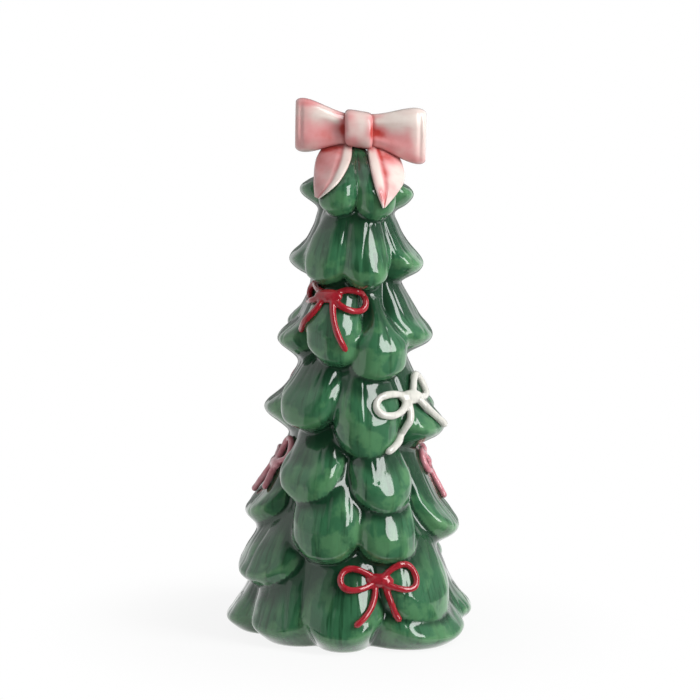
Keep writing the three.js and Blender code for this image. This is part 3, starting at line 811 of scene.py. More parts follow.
class Glaze(Enum):
    """The glazes that the painter used."""

    GREEN = BrushedGlaze(
        "fir_green_brushed_glaze",
        body="#346646", dark_stroke="#20482e", pale_stroke="#54865a", pooled_and_shaded="#143623", broken="#8cba88",
        stroke_wide=2.2, stroke_long=24.0, pooling_and_shade=0.85, breaking=0.55, dark_share=0.85, pale_share=0.6,
    )
    RED = BrushedGlaze(
        "crimson_brushed_glaze",
        body="#9b1d29", dark_stroke="#7c1722", pale_stroke="#aa303b", pooled_and_shaded="#6a1219", broken="#d08084",
        stroke_wide=2.0, stroke_long=9.0, pooling_and_shade=0.5, breaking=0.3,
    )
    WHITE = BrushedGlaze(
        "white_brushed_glaze",
        body="#d0cec6", dark_stroke="#b9b8b0", pale_stroke="#dddbd4", pooled_and_shaded="#9fa39a", broken="#f1efea",
        stroke_wide=2.0, stroke_long=9.0, pooling_and_shade=0.4, breaking=0.5,
    )
    PINK = BrushedGlaze(
        "rose_brushed_glaze",
        body="#c47a84", dark_stroke="#a8606c", pale_stroke="#d69aa2", pooled_and_shaded="#7d3f48", broken="#e5bdc0",
        stroke_wide=2.0, stroke_long=9.0, pooling_and_shade=0.5, breaking=0.4,
    )
    RIBBON = BrushedGlaze(
        "white_and_pink_ribbon_glaze",
        body="#e0d4cc", dark_stroke="#d4beb7", pale_stroke="#e9dfd8", pooled_and_shaded="#a44a45", broken="#efe6dd",
        stroke_wide=2.6, stroke_long=12.0, pooling_and_shade=0.7, breaking=0.6, dark_share=0.4, pale_share=0.4,
        wash="#d69595", deep_wash_and_shade="#bb4742", coat=0.55, coat_roughness=0.1,
    )


# The casting


@dataclass
class TreeCasting:
    """The hollow slip casting: trunk and branches in one, cut flat where it stands, open underneath."""

    outside: Outside
    columns: int = 420
    rows: int = 214
    wall: float = 5.0
    hollow_top: float = 191.0
    hollow_rows: int = 13
    felt_aside: float = 8.0  # degrees over which the hollow feels the outside
    felt_away: float = 8.0
    wiped_deep: float = 0.7  # the foot's edge, where the glaze is wiped off
    wiped_tall: float = 1.4
    groove_deep: float = 0.19
    groove_apart: float = 9.0
    groove_long: float = 60.0
    dent_deep: float = 0.9
    dent_apart: float = 13.0
    seed: int = 7

    TOP_HOLE = 0.05  # from the top ring of points to the very top
    HOLLOW_DOME = 2.0  # from the hollow's top ring to its very top
    SLOPE_NEED = (0.35, 4.0)  # how much closer the points lie for a slope, and the slope at which that stops
    BEND_NEED = (1.6, 1.2)  # the same where the clay bends
    NEED_EVENED = (5, 9)  # cells over which the points' closeness is evened out, upwards and round the tree
    HOLLOW_EVENED = (12, 10)  # the same for the hollow
    FELT_CELLS = (3, 4)  # the hollow feels every third cell aside and every fourth one upwards
    GROOVED = ((0.03, 0.25), (0.6, 0.78))  # shares of a branch's length over which grooves start and end
    GROOVED_ASIDE = (0.7, 0.95)  # shares of half its width over which they end
    GROOVED_ABOVE = (1.5, 8)  # heights over which they start
    HANDLED = ((2, 10), (205, 214))  # heights over which dents start and end
    THIN = ((0.5, 0.72), (0.86, 1.0))  # shares of a branch's length where thin glaze starts and ends
    ROOT_PAINTED_SHADE = 1.25  # painted shade at a branch's root, under the branch above, in mm of hollow
    ROOT_FADE = (0.1, 0.62)  # shares of a branch's length over which that ends
    FINE_PASSES = 5  # the widths of the hollows in which glaze runs together
    WIDE_PASSES = 60

    def build(self) -> bpy.types.Object:
        """Builds and dresses the casting.

        Returns:
            The piece, with its glaze outside and bare clay on its foot and inside.
        """
        azimuth = np.arange(self.columns) * 360.0 / self.columns
        heights = self._levels()
        columns = np.broadcast_to(azimuth[:, None], heights.shape)
        radius = self.outside.sample(self.outside.radius, columns, heights)
        wiped = self.wiped_deep * np.clip(1 - heights / self.wiped_tall, 0, 1) ** 2
        outer = around(columns, radius - wiped, heights)
        inner = self._hollow(azimuth)
        made = show("tree_casting_glazed", self._mesh(outer, inner))
        self._store_strokes(made.data, columns, heights)
        self._comb(made)
        plain_mesh(made)
        store(made.data, "hollow_fine", hollowness(made.data, self.FINE_PASSES))
        # The wide hollows also carry painted shade at the branches' roots, under the rows above
        store(made.data, "hollow_wide", hollowness(made.data, self.WIDE_PASSES) + self._painted_root_shade(made.data))
        return made

    def _painted_root_shade(self, mesh: bpy.types.Mesh) -> np.ndarray:
        """Painted shade under the branches above, added to the wide hollows: much at a root, none at a nose.
        """
        down = np.zeros(len(mesh.vertices))
        mesh.attributes["down"].data.foreach_get("value", down)
        return self.ROOT_PAINTED_SHADE * (1 - smoothstep(down, *self.ROOT_FADE))

    def _levels(self) -> np.ndarray:
        """The heights of each column's points, closer together where the clay turns sharply.

        Returns:
            An array of columns by rows of heights.
        """
        outside = self.outside
        slope = np.gradient(outside.radius, outside.step, axis=1)
        bend = np.gradient(slope, outside.step, axis=1)
        needs = ((slope, self.SLOPE_NEED), (bend, self.BEND_NEED))
        need = sum((much * np.abs(values).clip(0, most) for values, (much, most) in needs), 1.0)
        total = np.cumsum(evened(need, *self.NEED_EVENED), axis=1) * outside.step
        total -= total[:, :1]
        usable = outside.heights <= TREE_TOP - self.TOP_HOLE
        levels = []
        for run in total[:: outside.columns // self.columns, usable]:
            marks = np.linspace(0, run[-1], self.rows + 1)
            levels.append(np.interp(marks, run, outside.heights[usable]))
        return np.array(levels)

    def _hollow(self, azimuth: np.ndarray) -> np.ndarray:
        """The rings of the hollow, which follows the outside loosely, a wall's thickness inside it.

        Args:
            azimuth: The azimuths of the columns.

        Returns:
            An array of columns by rings by three, from the foot up.
        """
        outside = self.outside
        aside, away = int(self.felt_aside / 360 * outside.columns), int(self.felt_away / outside.step)
        every_aside, every_up = self.FELT_CELLS
        least = outside.radius.copy()
        for turn in range(-aside, aside + 1, every_aside):
            least = np.minimum(least, np.roll(outside.radius, turn, axis=0))
        padded = np.pad(least, ((0, 0), (away, away)), mode="edge")
        count = least.shape[1]
        least = np.min([padded[:, i : i + count] for i in range(0, 2 * away + 1, every_up)], axis=0)
        least = evened(least, *self.HOLLOW_EVENED) - self.wall
        heights = np.linspace(0, self.hollow_top, self.hollow_rows + 1)
        return np.stack([around(azimuth, outside.sample(least, azimuth, h), h) for h in heights], axis=1)

    def _mesh(self, outer: np.ndarray, inner: np.ndarray) -> bpy.types.Mesh:
        """One closed mesh from the outside, the foot rim and the hollow.

        Args:
            outer: Columns by rows of points, from the foot up.
            inner: Columns by rings of points, from the foot up.

        Returns:
            The mesh, with the attribute glazed at 1 on the outside.
        """
        columns, rows = outer.shape[:2]
        rings = inner.shape[1]
        middle_rim = (outer[:, 0] + inner[:, 0]) / 2
        tops = np.array([[0, 0, TREE_TOP], [0, 0, self.hollow_top + self.HOLLOW_DOME]])
        points = np.concatenate([outer.reshape(-1, 3), inner.reshape(-1, 3), middle_rim, tops])
        inside, rim = columns * rows, columns * (rows + rings)
        top, hollow_top = rim + columns, rim + columns + 1
        faces = []
        for c in range(columns):
            n = (c + 1) % columns
            a, b = c * rows, n * rows
            faces += [(a + r, b + r, b + r + 1, a + r + 1) for r in range(rows - 1)]
            a, b = inside + c * rings, inside + n * rings
            faces += [(b + r, a + r, a + r + 1, b + r + 1) for r in range(rings - 1)]
            faces.append((c * rows + rows - 1, n * rows + rows - 1, top))
            faces.append((b + rings - 1, a + rings - 1, hollow_top))
            faces.append((n * rows, c * rows, rim + c, rim + n))
            faces.append((rim + n, rim + c, a, b))
        mesh = make_mesh("tree_casting_glazed", points, faces)
        glazed = np.zeros(len(points))
        glazed[:inside] = 1
        glazed[top] = 1
        store(mesh, "glazed", glazed)
        return mesh

    def _store_strokes(self, mesh: bpy.types.Mesh, columns: np.ndarray, heights: np.ndarray) -> None:
        """Stores the way of the brush, and where the clay is grooved and dented, on the outside's points.

        Args:
            mesh: The casting's mesh, whose first points are the outside's.
            columns: The azimuth of each outside point.
            heights: The height of each outside point.
        """
        outside = self.outside
        down = outside.nearest(outside.down, columns, heights)
        across = np.abs(outside.nearest(outside.across, columns, heights))
        inside_edges = 1 - smoothstep(across, *self.GROOVED_ASIDE)
        above_foot = smoothstep(heights, *self.GROOVED_ABOVE)
        kept = {
            "brush": outside.nearest(outside.brush, columns, heights),
            "groove": plateau(down, *self.GROOVED) * inside_edges * above_foot,
            "handled": plateau(heights, *self.HANDLED),
            "down": down,
            "thin": plateau(down, *self.THIN),
            "beside": np.zeros(down.shape),
        }
        for name, values in kept.items():
            every = np.full((len(mesh.vertices),) + values.shape[2:], 1.0 if name == "down" else 0.0)
            every[: columns.size] = values.reshape((-1,) + values.shape[2:])
            store(mesh, name, every)

    def _comb(self, made: bpy.types.Object) -> None:
        """Adds the Geometry Nodes that comb grooves down the branches and dent them, as tool and hand do.

        Args:
            made: The casting.
        """
        modifier = made.modifiers.new("combed_grooves", "NODES")
        modifier.node_group = self._comb_tree()
        settings = {
            "Groove depth": self.groove_deep * MM,
            "Groove spacing": self.groove_apart,
            "Groove length": self.groove_long,
            "Dent depth": self.dent_deep * MM,
            "Dent spacing": self.dent_apart * MM,
            "Seed": self.seed,
            "Glaze": Glaze.GREEN.value.material(),
            "Clay": BiscuitClay().material(),
        }
        for name, value in settings.items():
            set_input(modifier, name, value)

    @staticmethod
    def _comb_tree() -> bpy.types.NodeTree:
        """The Geometry Nodes tree of combed and dented clay, glazed where the attribute glazed says so.

        Returns:
            The tree.
        """
        tree = new_geometry_tree(
            "combed_grooves",
            {
                "Groove depth": ("NodeSocketFloat", 0.0004),
                "Groove spacing": ("NodeSocketFloat", 4.0),
                "Groove length": ("NodeSocketFloat", 40.0),
                "Dent depth": ("NodeSocketFloat", 0.0003),
                "Dent spacing": ("NodeSocketFloat", 0.012),
                "Seed": ("NodeSocketInt", 1),
                "Glaze": ("NodeSocketMaterial", None),
                "Clay": ("NodeSocketMaterial", None),
            },
        )
        start = add(tree, "NodeGroupInput").outputs
        brush, mask, glazed, handled = (
            add(tree, "GeometryNodeInputNamedAttribute", {"Name": name}, data_type=kind).outputs["Attribute"]
            for name, kind in (
                ("brush", "FLOAT_VECTOR"),
                ("groove", "FLOAT"),
                ("glazed", "FLOAT"),
                ("handled", "FLOAT"),
            )
        )
        spacing = {"X": start["Groove spacing"], "Y": start["Groove length"], "Z": 1.0}
        size = add(tree, "ShaderNodeCombineXYZ", spacing).outputs[0]
        scaled = add(tree, "ShaderNodeVectorMath", {0: brush, 1: size}, operation="DIVIDE").outputs[0]
        drawn_out = {"Vector": scaled, "W": start["Seed"], "Scale": 1.0, "Detail": 0.0}
        noise = add(tree, "ShaderNodeTexNoise", drawn_out, noise_dimensions="4D").outputs["Fac"]
        # A groove runs where the noise is near its middle, and the clay between two grooves swells a little
        aside = add(tree, "ShaderNodeMath", {0: noise, 1: 0.5}, operation="SUBTRACT").outputs[0]
        aside = add(tree, "ShaderNodeMath", {0: aside}, operation="ABSOLUTE").outputs[0]
        narrow = {"Value": aside, "From Min": 0.0, "From Max": 0.07, "To Min": 1.0, "To Max": 0.0}
        valley = add(tree, "ShaderNodeMapRange", narrow, interpolation_type="SMOOTHSTEP").outputs["Result"]
        swell = add(tree, "ShaderNodeMath", {0: noise, 1: -1.4, 2: 0.7}, operation="MULTIPLY_ADD").outputs[0]
        deep = add(tree, "ShaderNodeMath", {0: valley, 1: swell}, operation="SUBTRACT").outputs[0]
        for factor in (mask, start["Groove depth"], -1.0):
            deep = add(tree, "ShaderNodeMath", {0: deep, 1: factor}, operation="MULTIPLY").outputs[0]
        closeness = add(tree, "ShaderNodeMath", {0: 1.0, 1: start["Dent spacing"]}, operation="DIVIDE")
        uneven = {"W": start["Seed"], "Scale": closeness.outputs[0], "Detail": 1.0}
        dents = add(tree, "ShaderNodeTexNoise", uneven, noise_dimensions="4D").outputs["Fac"]
        dents = add(tree, "ShaderNodeMath", {0: dents, 1: 2.0, 2: -1.0}, operation="MULTIPLY_ADD").outputs[0]
        dents = add(tree, "ShaderNodeMath", {0: dents, 1: handled}, operation="MULTIPLY").outputs[0]
        dented = {0: dents, 1: start["Dent depth"], 2: deep}
        deep = add(tree, "ShaderNodeMath", dented, operation="MULTIPLY_ADD").outputs[0]
        normal = add(tree, "GeometryNodeInputNormal").outputs["Normal"]
        offset = add(tree, "ShaderNodeVectorMath", {0: normal, "Scale": deep}, operation="SCALE").outputs[0]
        moved = add(tree, "GeometryNodeSetPosition", {"Geometry": start["Geometry"], "Offset": offset})
        real = add(tree, "GeometryNodeRealizeInstances", {"Geometry": moved.outputs[0]})
        clay = add(tree, "GeometryNodeSetMaterial", {"Geometry": real.outputs[0], "Material": start["Clay"]})
        outer = {"data_type": "FLOAT", "operation": "GREATER_THAN"}
        outside = add(tree, "FunctionNodeCompare", {0: glazed, 1: 0.5}, **outer)
        coat = {"Geometry": clay.outputs[0], "Selection": outside.outputs[0], "Material": start["Glaze"]}
        dressed = add(tree, "GeometryNodeSetMaterial", coat)
        add(tree, "NodeGroupOutput", {"Geometry": dressed.outputs[0]})
        return tree


# The small bows


@dataclass(frozen=True)
class Loop:
    """A small bow's loop: its length, its height and how far its end is turned up, in degrees."""

    long: float
    tall: float
    rise: float


@dataclass(frozen=True)
class Tail:
    """A small bow's tail: the place that it bends towards and its end, across and up from the knot."""

    bend: tuple[float, float]
    end: tuple[float, float]


@dataclass
class SmallBow:
    """A bow rolled from one coil of clay and pressed onto the branches."""

    name: str
    glaze: Glaze
    at: float
    height: float
    left: Loop
    right: Loop
    tails: tuple[Tail, Tail]
    coil_wide: float = 3.0
    knot: tuple[float, float, float] = (6.6, 3.3, 2.4)  # half its width, height and thickness
    sunk: float = 0.35  # how far the coil is pressed into the branches
    steepest: float = 0.55  # the coil leaves a surface that falls away faster than this

    LOOP_FULLNESS = 0.7  # a loop's height above its middle line, as a share of how tall it is named
    LOOP_NECK = 1.5  # a higher power makes a longer narrow neck beside the knot
    TAIL_START = (2.2, -0.8)  # beside and below the knot's middle
    COIL_SIDES = 14
    BLUNTNESS = 0.98  # how far a free end is drawn in to a point
    FUSED = 0.4  # the width of the grain in which the coils and the knot are pressed together
    SOFTENED = (0.5, 6)  # how far and how often they are smoothed after that
    FINE_HOLLOWS = (8, 0.5)  # the passes that find its hollows, and how much glaze runs into them
    WIDE_HOLLOWS = (30, 0.3)
    STROKE_TURNS = (1.3, 0.2)  # how much faster and slower the brush's noise runs across and through the bow
    # Two waves in a coil's radius: their share of it, their radians to a mm and their shift from coil to coil
    WAVES = ((0.035, 0.55, 1.9), (0.025, 1.3, 1.0))

    def build(self, outside: Outside) -> bpy.types.Object:
        """Builds and dresses the bow.

        Args:
            outside: The tree that it lies on.

        Returns:
            The piece.
        """
        runs = [(self._loop(self.left, -1), False), (self._loop(self.right, 1), False)]
        runs += [(self._tail(tail), True) for tail in self.tails]
        points, edges, radii = [], [], []
        for number, (run, free_end) in enumerate(runs):
            places, travelled = self._laid(outside, run)
            first = len(points)
            points += places.tolist()
            edges += [(first + i, first + i + 1) for i in range(len(places) - 1)]
            radii += self._radii(travelled, free_end, number).tolist()
        made = show(self.name + "_coil", self._line(points, edges, radii))
        self._roll(made, Vector(outside.outward(self.at, self.height).tolist()))
        fuse = made.modifiers.new("pressed_together", "REMESH")
        fuse.mode = "VOXEL"
        fuse.voxel_size = self.FUSED * MM
        fuse.use_smooth_shade = True
        soft = made.modifiers.new("softened", "SMOOTH")
        soft.factor, soft.iterations = self.SOFTENED
        mesh = plain_mesh(made).data
        mesh.materials.clear()
        mesh.materials.append(self.glaze.value.material())
        store(mesh, "brush", self._brush(mesh))
        store_hollows(mesh, self.FINE_HOLLOWS, self.WIDE_HOLLOWS)
        store(mesh, "beside", np.zeros(len(mesh.vertices)))
        return made

    def _loop(self, loop: Loop, side: int) -> np.ndarray:
        """A loop's middle line, across and up from the knot.

        Args:
            loop: The loop.
            side: -1 on the left and 1 on the right.

        Returns:
            The line's points.
        """
        a = np.linspace(0, math.pi, 61)
        turn = math.radians(loop.rise)
        out = loop.long * np.sin(a) ** 2
        up = self.LOOP_FULLNESS * loop.tall * np.sin(2 * a) * np.sin(a) ** self.LOOP_NECK
        across = out * math.cos(turn) - up * math.sin(turn)
        return np.stack([side * across, up * math.cos(turn) + out * math.sin(turn)], axis=1)

    def _tail(self, tail: Tail) -> np.ndarray:
        """A tail's middle line, across and up from the knot.

        Args:
            tail: The tail.

        Returns:
            The line's points.
        """
        t = np.linspace(0, 1, 31)[:, None]
        beside, below = self.TAIL_START
        start = np.array((math.copysign(beside, tail.end[0]), below))
        bend, end = np.array(tail.bend), np.array(tail.end)
        return (1 - t) ** 2 * start + 2 * t * (1 - t) * bend + t**2 * end

    def _laid(self, outside: Outside, run: np.ndarray) -> tuple[np.ndarray, np.ndarray]:
        """Lays a line on the branches, bridging the creases.

        Args:
            outside: The tree.
            run: The line, across and up from the knot.

        Returns:
            The places of the coil's middle, and how far along the coil each is.
        """
        reach = float(outside.sample(outside.radius, self.at, self.height))
        azimuth = self.at + np.degrees(run[:, 0] / reach)
        height = self.height + run[:, 1]
        travelled = np.concatenate([[0], np.cumsum(np.linalg.norm(np.diff(run, axis=0), axis=1))])
        felt = outside.sample(outside.radius, azimuth, height)
        apart = np.abs(travelled[:, None] - travelled[None, :])
        radii = (felt[None, :] - self.steepest * apart).max(axis=1)
        outward = outside.outward(azimuth, height)
        places = around(azimuth, radii, height) + outward * (self.coil_wide / 2 - self.sunk)
        return places, travelled

    def _radii(self, travelled: np.ndarray, free_end: bool, number: int) -> np.ndarray:
        """The coil's radius along it, a little uneven, as rolled by hand.

        Args:
            travelled: How far along the coil each point is.
            free_end: Whether its end is free, and so rounded.
            number: The coil's place in the bow, which makes it uneven in its own way.

        Returns:
            The radii.
        """
        waves = (share * np.sin(travelled * pace + number * shift) for share, pace, shift in self.WAVES)
        radius = self.coil_wide / 2 * sum(waves, 1.0)
        if free_end:
            left = travelled[-1] - travelled
            rounding = np.clip(left / (self.coil_wide / 2), 0, 1)
            radius = radius * np.sqrt(1 - (1 - rounding) ** 2 * self.BLUNTNESS)
        return radius

    def _line(self, points: list, edges: list, radii: list) -> bpy.types.Mesh:
        """A mesh of bare edges that carries the coil's radius.

        Args:
            points: Its points.
            edges: Pairs of point numbers.
            radii: The coil's radius at each point.

        Returns:
            The mesh.
        """
        mesh = bpy.data.meshes.new(self.name + "_coil")
        mesh.from_pydata((np.array(points) * MM).tolist(), edges, [])
        store(mesh, "coil_radius", np.array(radii) * MM)
        return mesh

    def _roll(self, made: bpy.types.Object, outward: Vector) -> None:
        """Adds the Geometry Nodes that roll a coil of clay along the edges and pinch the knot.

        Args:
            made: The object with the edges.
            outward: The way out of the clay at the knot.
        """
        modifier = made.modifiers.new("rolled_coil", "NODES")
        modifier.node_group = bpy.data.node_groups.get("rolled_coil") or self._coil_tree()
        settings = {
            "Sides": self.COIL_SIDES,
            "Knot size": [size * MM for size in self.knot],
            "Knot place": made.data.vertices[0].co.copy(),
            "Knot turn": outward.to_track_quat("Z", "Y").to_euler(),
        }
        for name, value in settings.items():
            set_input(modifier, name, value)

    @staticmethod
    def _coil_tree() -> bpy.types.NodeTree:
        """The Geometry Nodes tree of a rolled coil with a knot.

        Returns:
            The tree.
        """
        tree = new_geometry_tree(
            "rolled_coil",
            {
                "Sides": ("NodeSocketInt", 12),
                "Knot size": ("NodeSocketVector", None),
                "Knot turn": ("NodeSocketVector", None),
                "Knot place": ("NodeSocketVector", None),
                "Glaze": ("NodeSocketMaterial", None),
            },
        )
        start = add(tree, "NodeGroupInput").outputs
        radius = add(tree, "GeometryNodeInputNamedAttribute", {"Name": "coil_radius"}, data_type="FLOAT")
        radius = radius.outputs["Attribute"]
        line = add(tree, "GeometryNodeMeshToCurve", {"Mesh": start["Geometry"]}).outputs[0]
        round_ = {"Resolution": start["Sides"], "Radius": 1.0}
        ring = add(tree, "GeometryNodeCurvePrimitiveCircle", round_).outputs[0]
        rolled = {"Curve": line, "Profile Curve": ring, "Scale": radius, "Fill Caps": True}
        tube = add(tree, "GeometryNodeCurveToMesh", rolled).outputs[0]
        ball = add(tree, "GeometryNodeMeshIcoSphere", {"Radius": 1.0, "Subdivisions": 3}).outputs[0]
        pinched = {
            "Geometry": ball,
            "Translation": start["Knot place"],
            "Rotation": start["Knot turn"],
            "Scale": start["Knot size"],
        }
        knot = add(tree, "GeometryNodeTransform", pinched).outputs[0]
        both = add(tree, "GeometryNodeJoinGeometry", {"Geometry": tube}).outputs[0]
        tree.links.new(knot, both.node.inputs[0])
        real = add(tree, "GeometryNodeRealizeInstances", {"Geometry": both}).outputs[0]
        dressed = add(tree, "GeometryNodeSetMaterial", {"Geometry": real, "Material": start["Glaze"]})
        add(tree, "NodeGroupOutput", {"Geometry": dressed.outputs[0]})
        return tree

    def _brush(self, mesh: bpy.types.Mesh) -> np.ndarray:
        """The way of the brush on the coil: round it, and along its height."""
        points = points_of(mesh)
        fast, slow = self.STROKE_TURNS
        return np.stack([points[:, 0] * fast, points[:, 2], points[:, 1] * slow + self.at], axis=1)


def small_bows() -> list[SmallBow]:
    """The eight small bows.

    Returns:
        The bows, those that the front shows first.
    """
    return [
        SmallBow("red_bow_upper_front", Glaze.RED, -24, 153, Loop(18.5, 8, 3), Loop(16.2, 9.8, -6),
                 (Tail((-3.5, -9), (-13, -16)), Tail((3, -9), (8.5, -22.5)))),
        SmallBow("white_bow_right", Glaze.WHITE, 51.5, 108.5, Loop(20, 8.4, -7), Loop(15, 9, 22),
                 (Tail((-3.5, -14), (-16.5, -22)), Tail((4, -5), (11, -13.5))), coil_wide=3.4),
        SmallBow("red_bow_lower_front", Glaze.RED, 17.5, 31, Loop(16.8, 8.6, 4), Loop(13.8, 11.2, 13),
                 (Tail((-3, -11), (-11.2, -18)), Tail((3.5, -8), (7.5, -17.5))), knot=(6.8, 3.3, 3.6)),
        SmallBow("pink_bow_left", Glaze.PINK, -79, 76, Loop(14.5, 9, 4), Loop(14, 9.5, 48),
                 (Tail((-4, -8), (-9, -15)), Tail((2, -5), (4, -11.5)))),
        SmallBow("pink_bow_right", Glaze.PINK, 101, 76, Loop(14, 9, 8), Loop(14, 9.5, -4),
                 (Tail((-4, -8), (-8, -16)), Tail((4, -8), (9, -15)))),
        SmallBow("white_bow_upper_back", Glaze.WHITE, 162, 147, Loop(14.5, 8, -4), Loop(15.5, 9, 4),
                 (Tail((-4, -9), (-10, -17)), Tail((3, -9), (6, -19)))),
        SmallBow("red_bow_middle_back", Glaze.RED, -150, 111, Loop(15, 8.5, 4), Loop(14.5, 9.5, 6),
                 (Tail((-4, -9), (-11, -16)), Tail((4, -9), (9, -18)))),
        SmallBow("white_bow_lower_back", Glaze.WHITE, -172, 34, Loop(16, 8.5, 6), Loop(15.5, 10, 2),
                 (Tail((-3, -11), (-10, -18)), Tail((4, -10), (9, -17)))),
    ]


# The ribbon bow


@dataclass(frozen=True)
class Dab:
    """One soft dab of pink, or of white where it is below 0, placed across and up from the knot's middle."""

    across: float
    up: float
    wide: float  # half its length
    tall: float  # half its height
    much: float
    turn: float = 0.0  # degrees anticlockwise

    def on(self, x: np.ndarray, z: np.ndarray) -> np.ndarray:
        """How much of it lies at places across and up from the knot's middle."""
        turn = math.radians(self.turn)
        along = ((x - self.across) * math.cos(turn) + (z - self.up) * math.sin(turn)) / self.wide
        aside = ((z - self.up) * math.cos(turn) - (x - self.across) * math.sin(turn)) / self.tall
        return self.much * np.exp(-(along**2) - aside**2)


# Most dabs are pink brushed on; those marked below are painted shade where the loops, the knot and the tails
# meet
DABS = (
    Dab(-22.5, 11.6, 6.5, 1.8, 0.6),
    Dab(-24.0, 1.0, 4.0, 6.5, 0.35),
    Dab(-13.5, -1.2, 7.5, 4.0, 0.6, 3),
    # Painted shadow: deep pink in the crease beside the knot's left side
    Dab(-6.9, 0.6, 1.8, 3.6, 1.3),
    Dab(-16.5, -5.0, 8.0, 3.6, 0.3),
    Dab(-21.0, -10.2, 6.0, 1.3, -0.45),
    Dab(-12.0, 5.2, 7.0, 1.5, -0.5, -32),
    Dab(-18.5, 6.4, 5.0, 3.0, -0.3),
    Dab(-8.2, 7.2, 3.2, 1.4, 0.35),
    Dab(8.4, -1.2, 3.6, 2.7, 1.35, -12),
    Dab(16.5, -5.6, 8.0, 4.2, 0.7, -18),
    Dab(10.6, -10.2, 5.0, 3.0, 0.65, -38),
    Dab(12.0, -17.6, 1.5, 2.8, 0.8, 20),
    Dab(10.4, -27.0, 1.3, 3.4, 1.2, 12),
    Dab(16.6, -18.6, 2.6, 4.5, -0.22),
    Dab(24.0, -12.6, 6.0, 2.4, 0.5, -8),
    Dab(21.6, -3.0, 2.2, 7.0, 0.25),
    Dab(8.6, 6.2, 3.4, 1.1, 0.45, 10),
    Dab(17.0, 5.0, 9.0, 3.6, -0.35, 8),
    Dab(-3.0, -5.2, 2.8, 3.0, 0.35),
    Dab(-4.2, 6.4, 1.8, 2.2, 0.3),
    Dab(5.9, -1.0, 0.9, 8.0, 0.75),
    Dab(1.4, 2.4, 2.4, 5.0, -0.3),
    # Painted shade: deep pink under the knot
    Dab(1.5, -8.4, 4.5, 1.3, 0.9),
    # Painted shade: deep pink at the top of the left tail, where it meets the loop
    Dab(-12.0, -8.6, 5.5, 1.7, 0.6, 8),
    Dab(-16.0, -16.0, 3.0, 6.0, 0.35),
    Dab(-17.0, -24.0, 3.0, 5.0, 0.3),
    Dab(15.6, -12.0, 3.0, 2.2, 0.3, -35),
    Dab(7.0, -20.0, 1.4, 6.0, 0.5, 14),
    Dab(15.0, -25.0, 2.6, 4.0, 0.4),
)


@dataclass(frozen=True)
class RibbonLoop:
    """One loop of the ribbon bow."""

    name: str
    side: int  # -1 on the left and 1 on the right
    long: float  # from the knot to its end
    rise: float  # how far its end is lifted
    neck: float  # its height at the knot
    end: float  # its height at its end
    pink: float  # how much pink is brushed on


@dataclass(frozen=True)
class RibbonTail:
    """One tail of the ribbon bow; its edges run from the top, across and up from the knot's middle."""

    name: str
    left_edge: tuple
    right_edge: tuple
    band_right: bool  # the pale turned edge is on its right
    band_wide: float  # the turned edge's share of the tail's width
    pink: float
    seam_pink: float  # how much more pink lies in the crease beside the turned edge

    BAND_PROUD = 0.35  # mm that the turned edge stands out
    BAND_ENDS = (0.75, 1.1)  # shares of its width over which it ends
    SEAM_AT = 1.15  # the crease's place, as a share of the turned edge's width
    SEAM_WIDE = 0.07  # a share of the tail's width
    SEAM_DEEP = 0.75  # mm
    SEAM_FADE = 0.4  # how much shallower the crease is at the tail's end
    EDGE_THICK = 0.35  # what is left of the tail's thickness at its sides
    SQUARENESS = 7  # how suddenly its sides round off
    ROOT_THICK = 0.6  # what is left of its thickness where it starts
    ROOT_LONG = 0.3  # the share of its length over which it grows thicker
    BAND_PALER = 0.85  # how much less pink the turned edge has
    PINK_END = 0.75  # the share of pink at the tail's end
    SHADOW_PINK = 0.35  # painted shadow of the loops: how much more pink there is beside the knot
    SHADOW_PINK_FADE = (0.2, 0.55)  # shares of the tail's length over which that ends


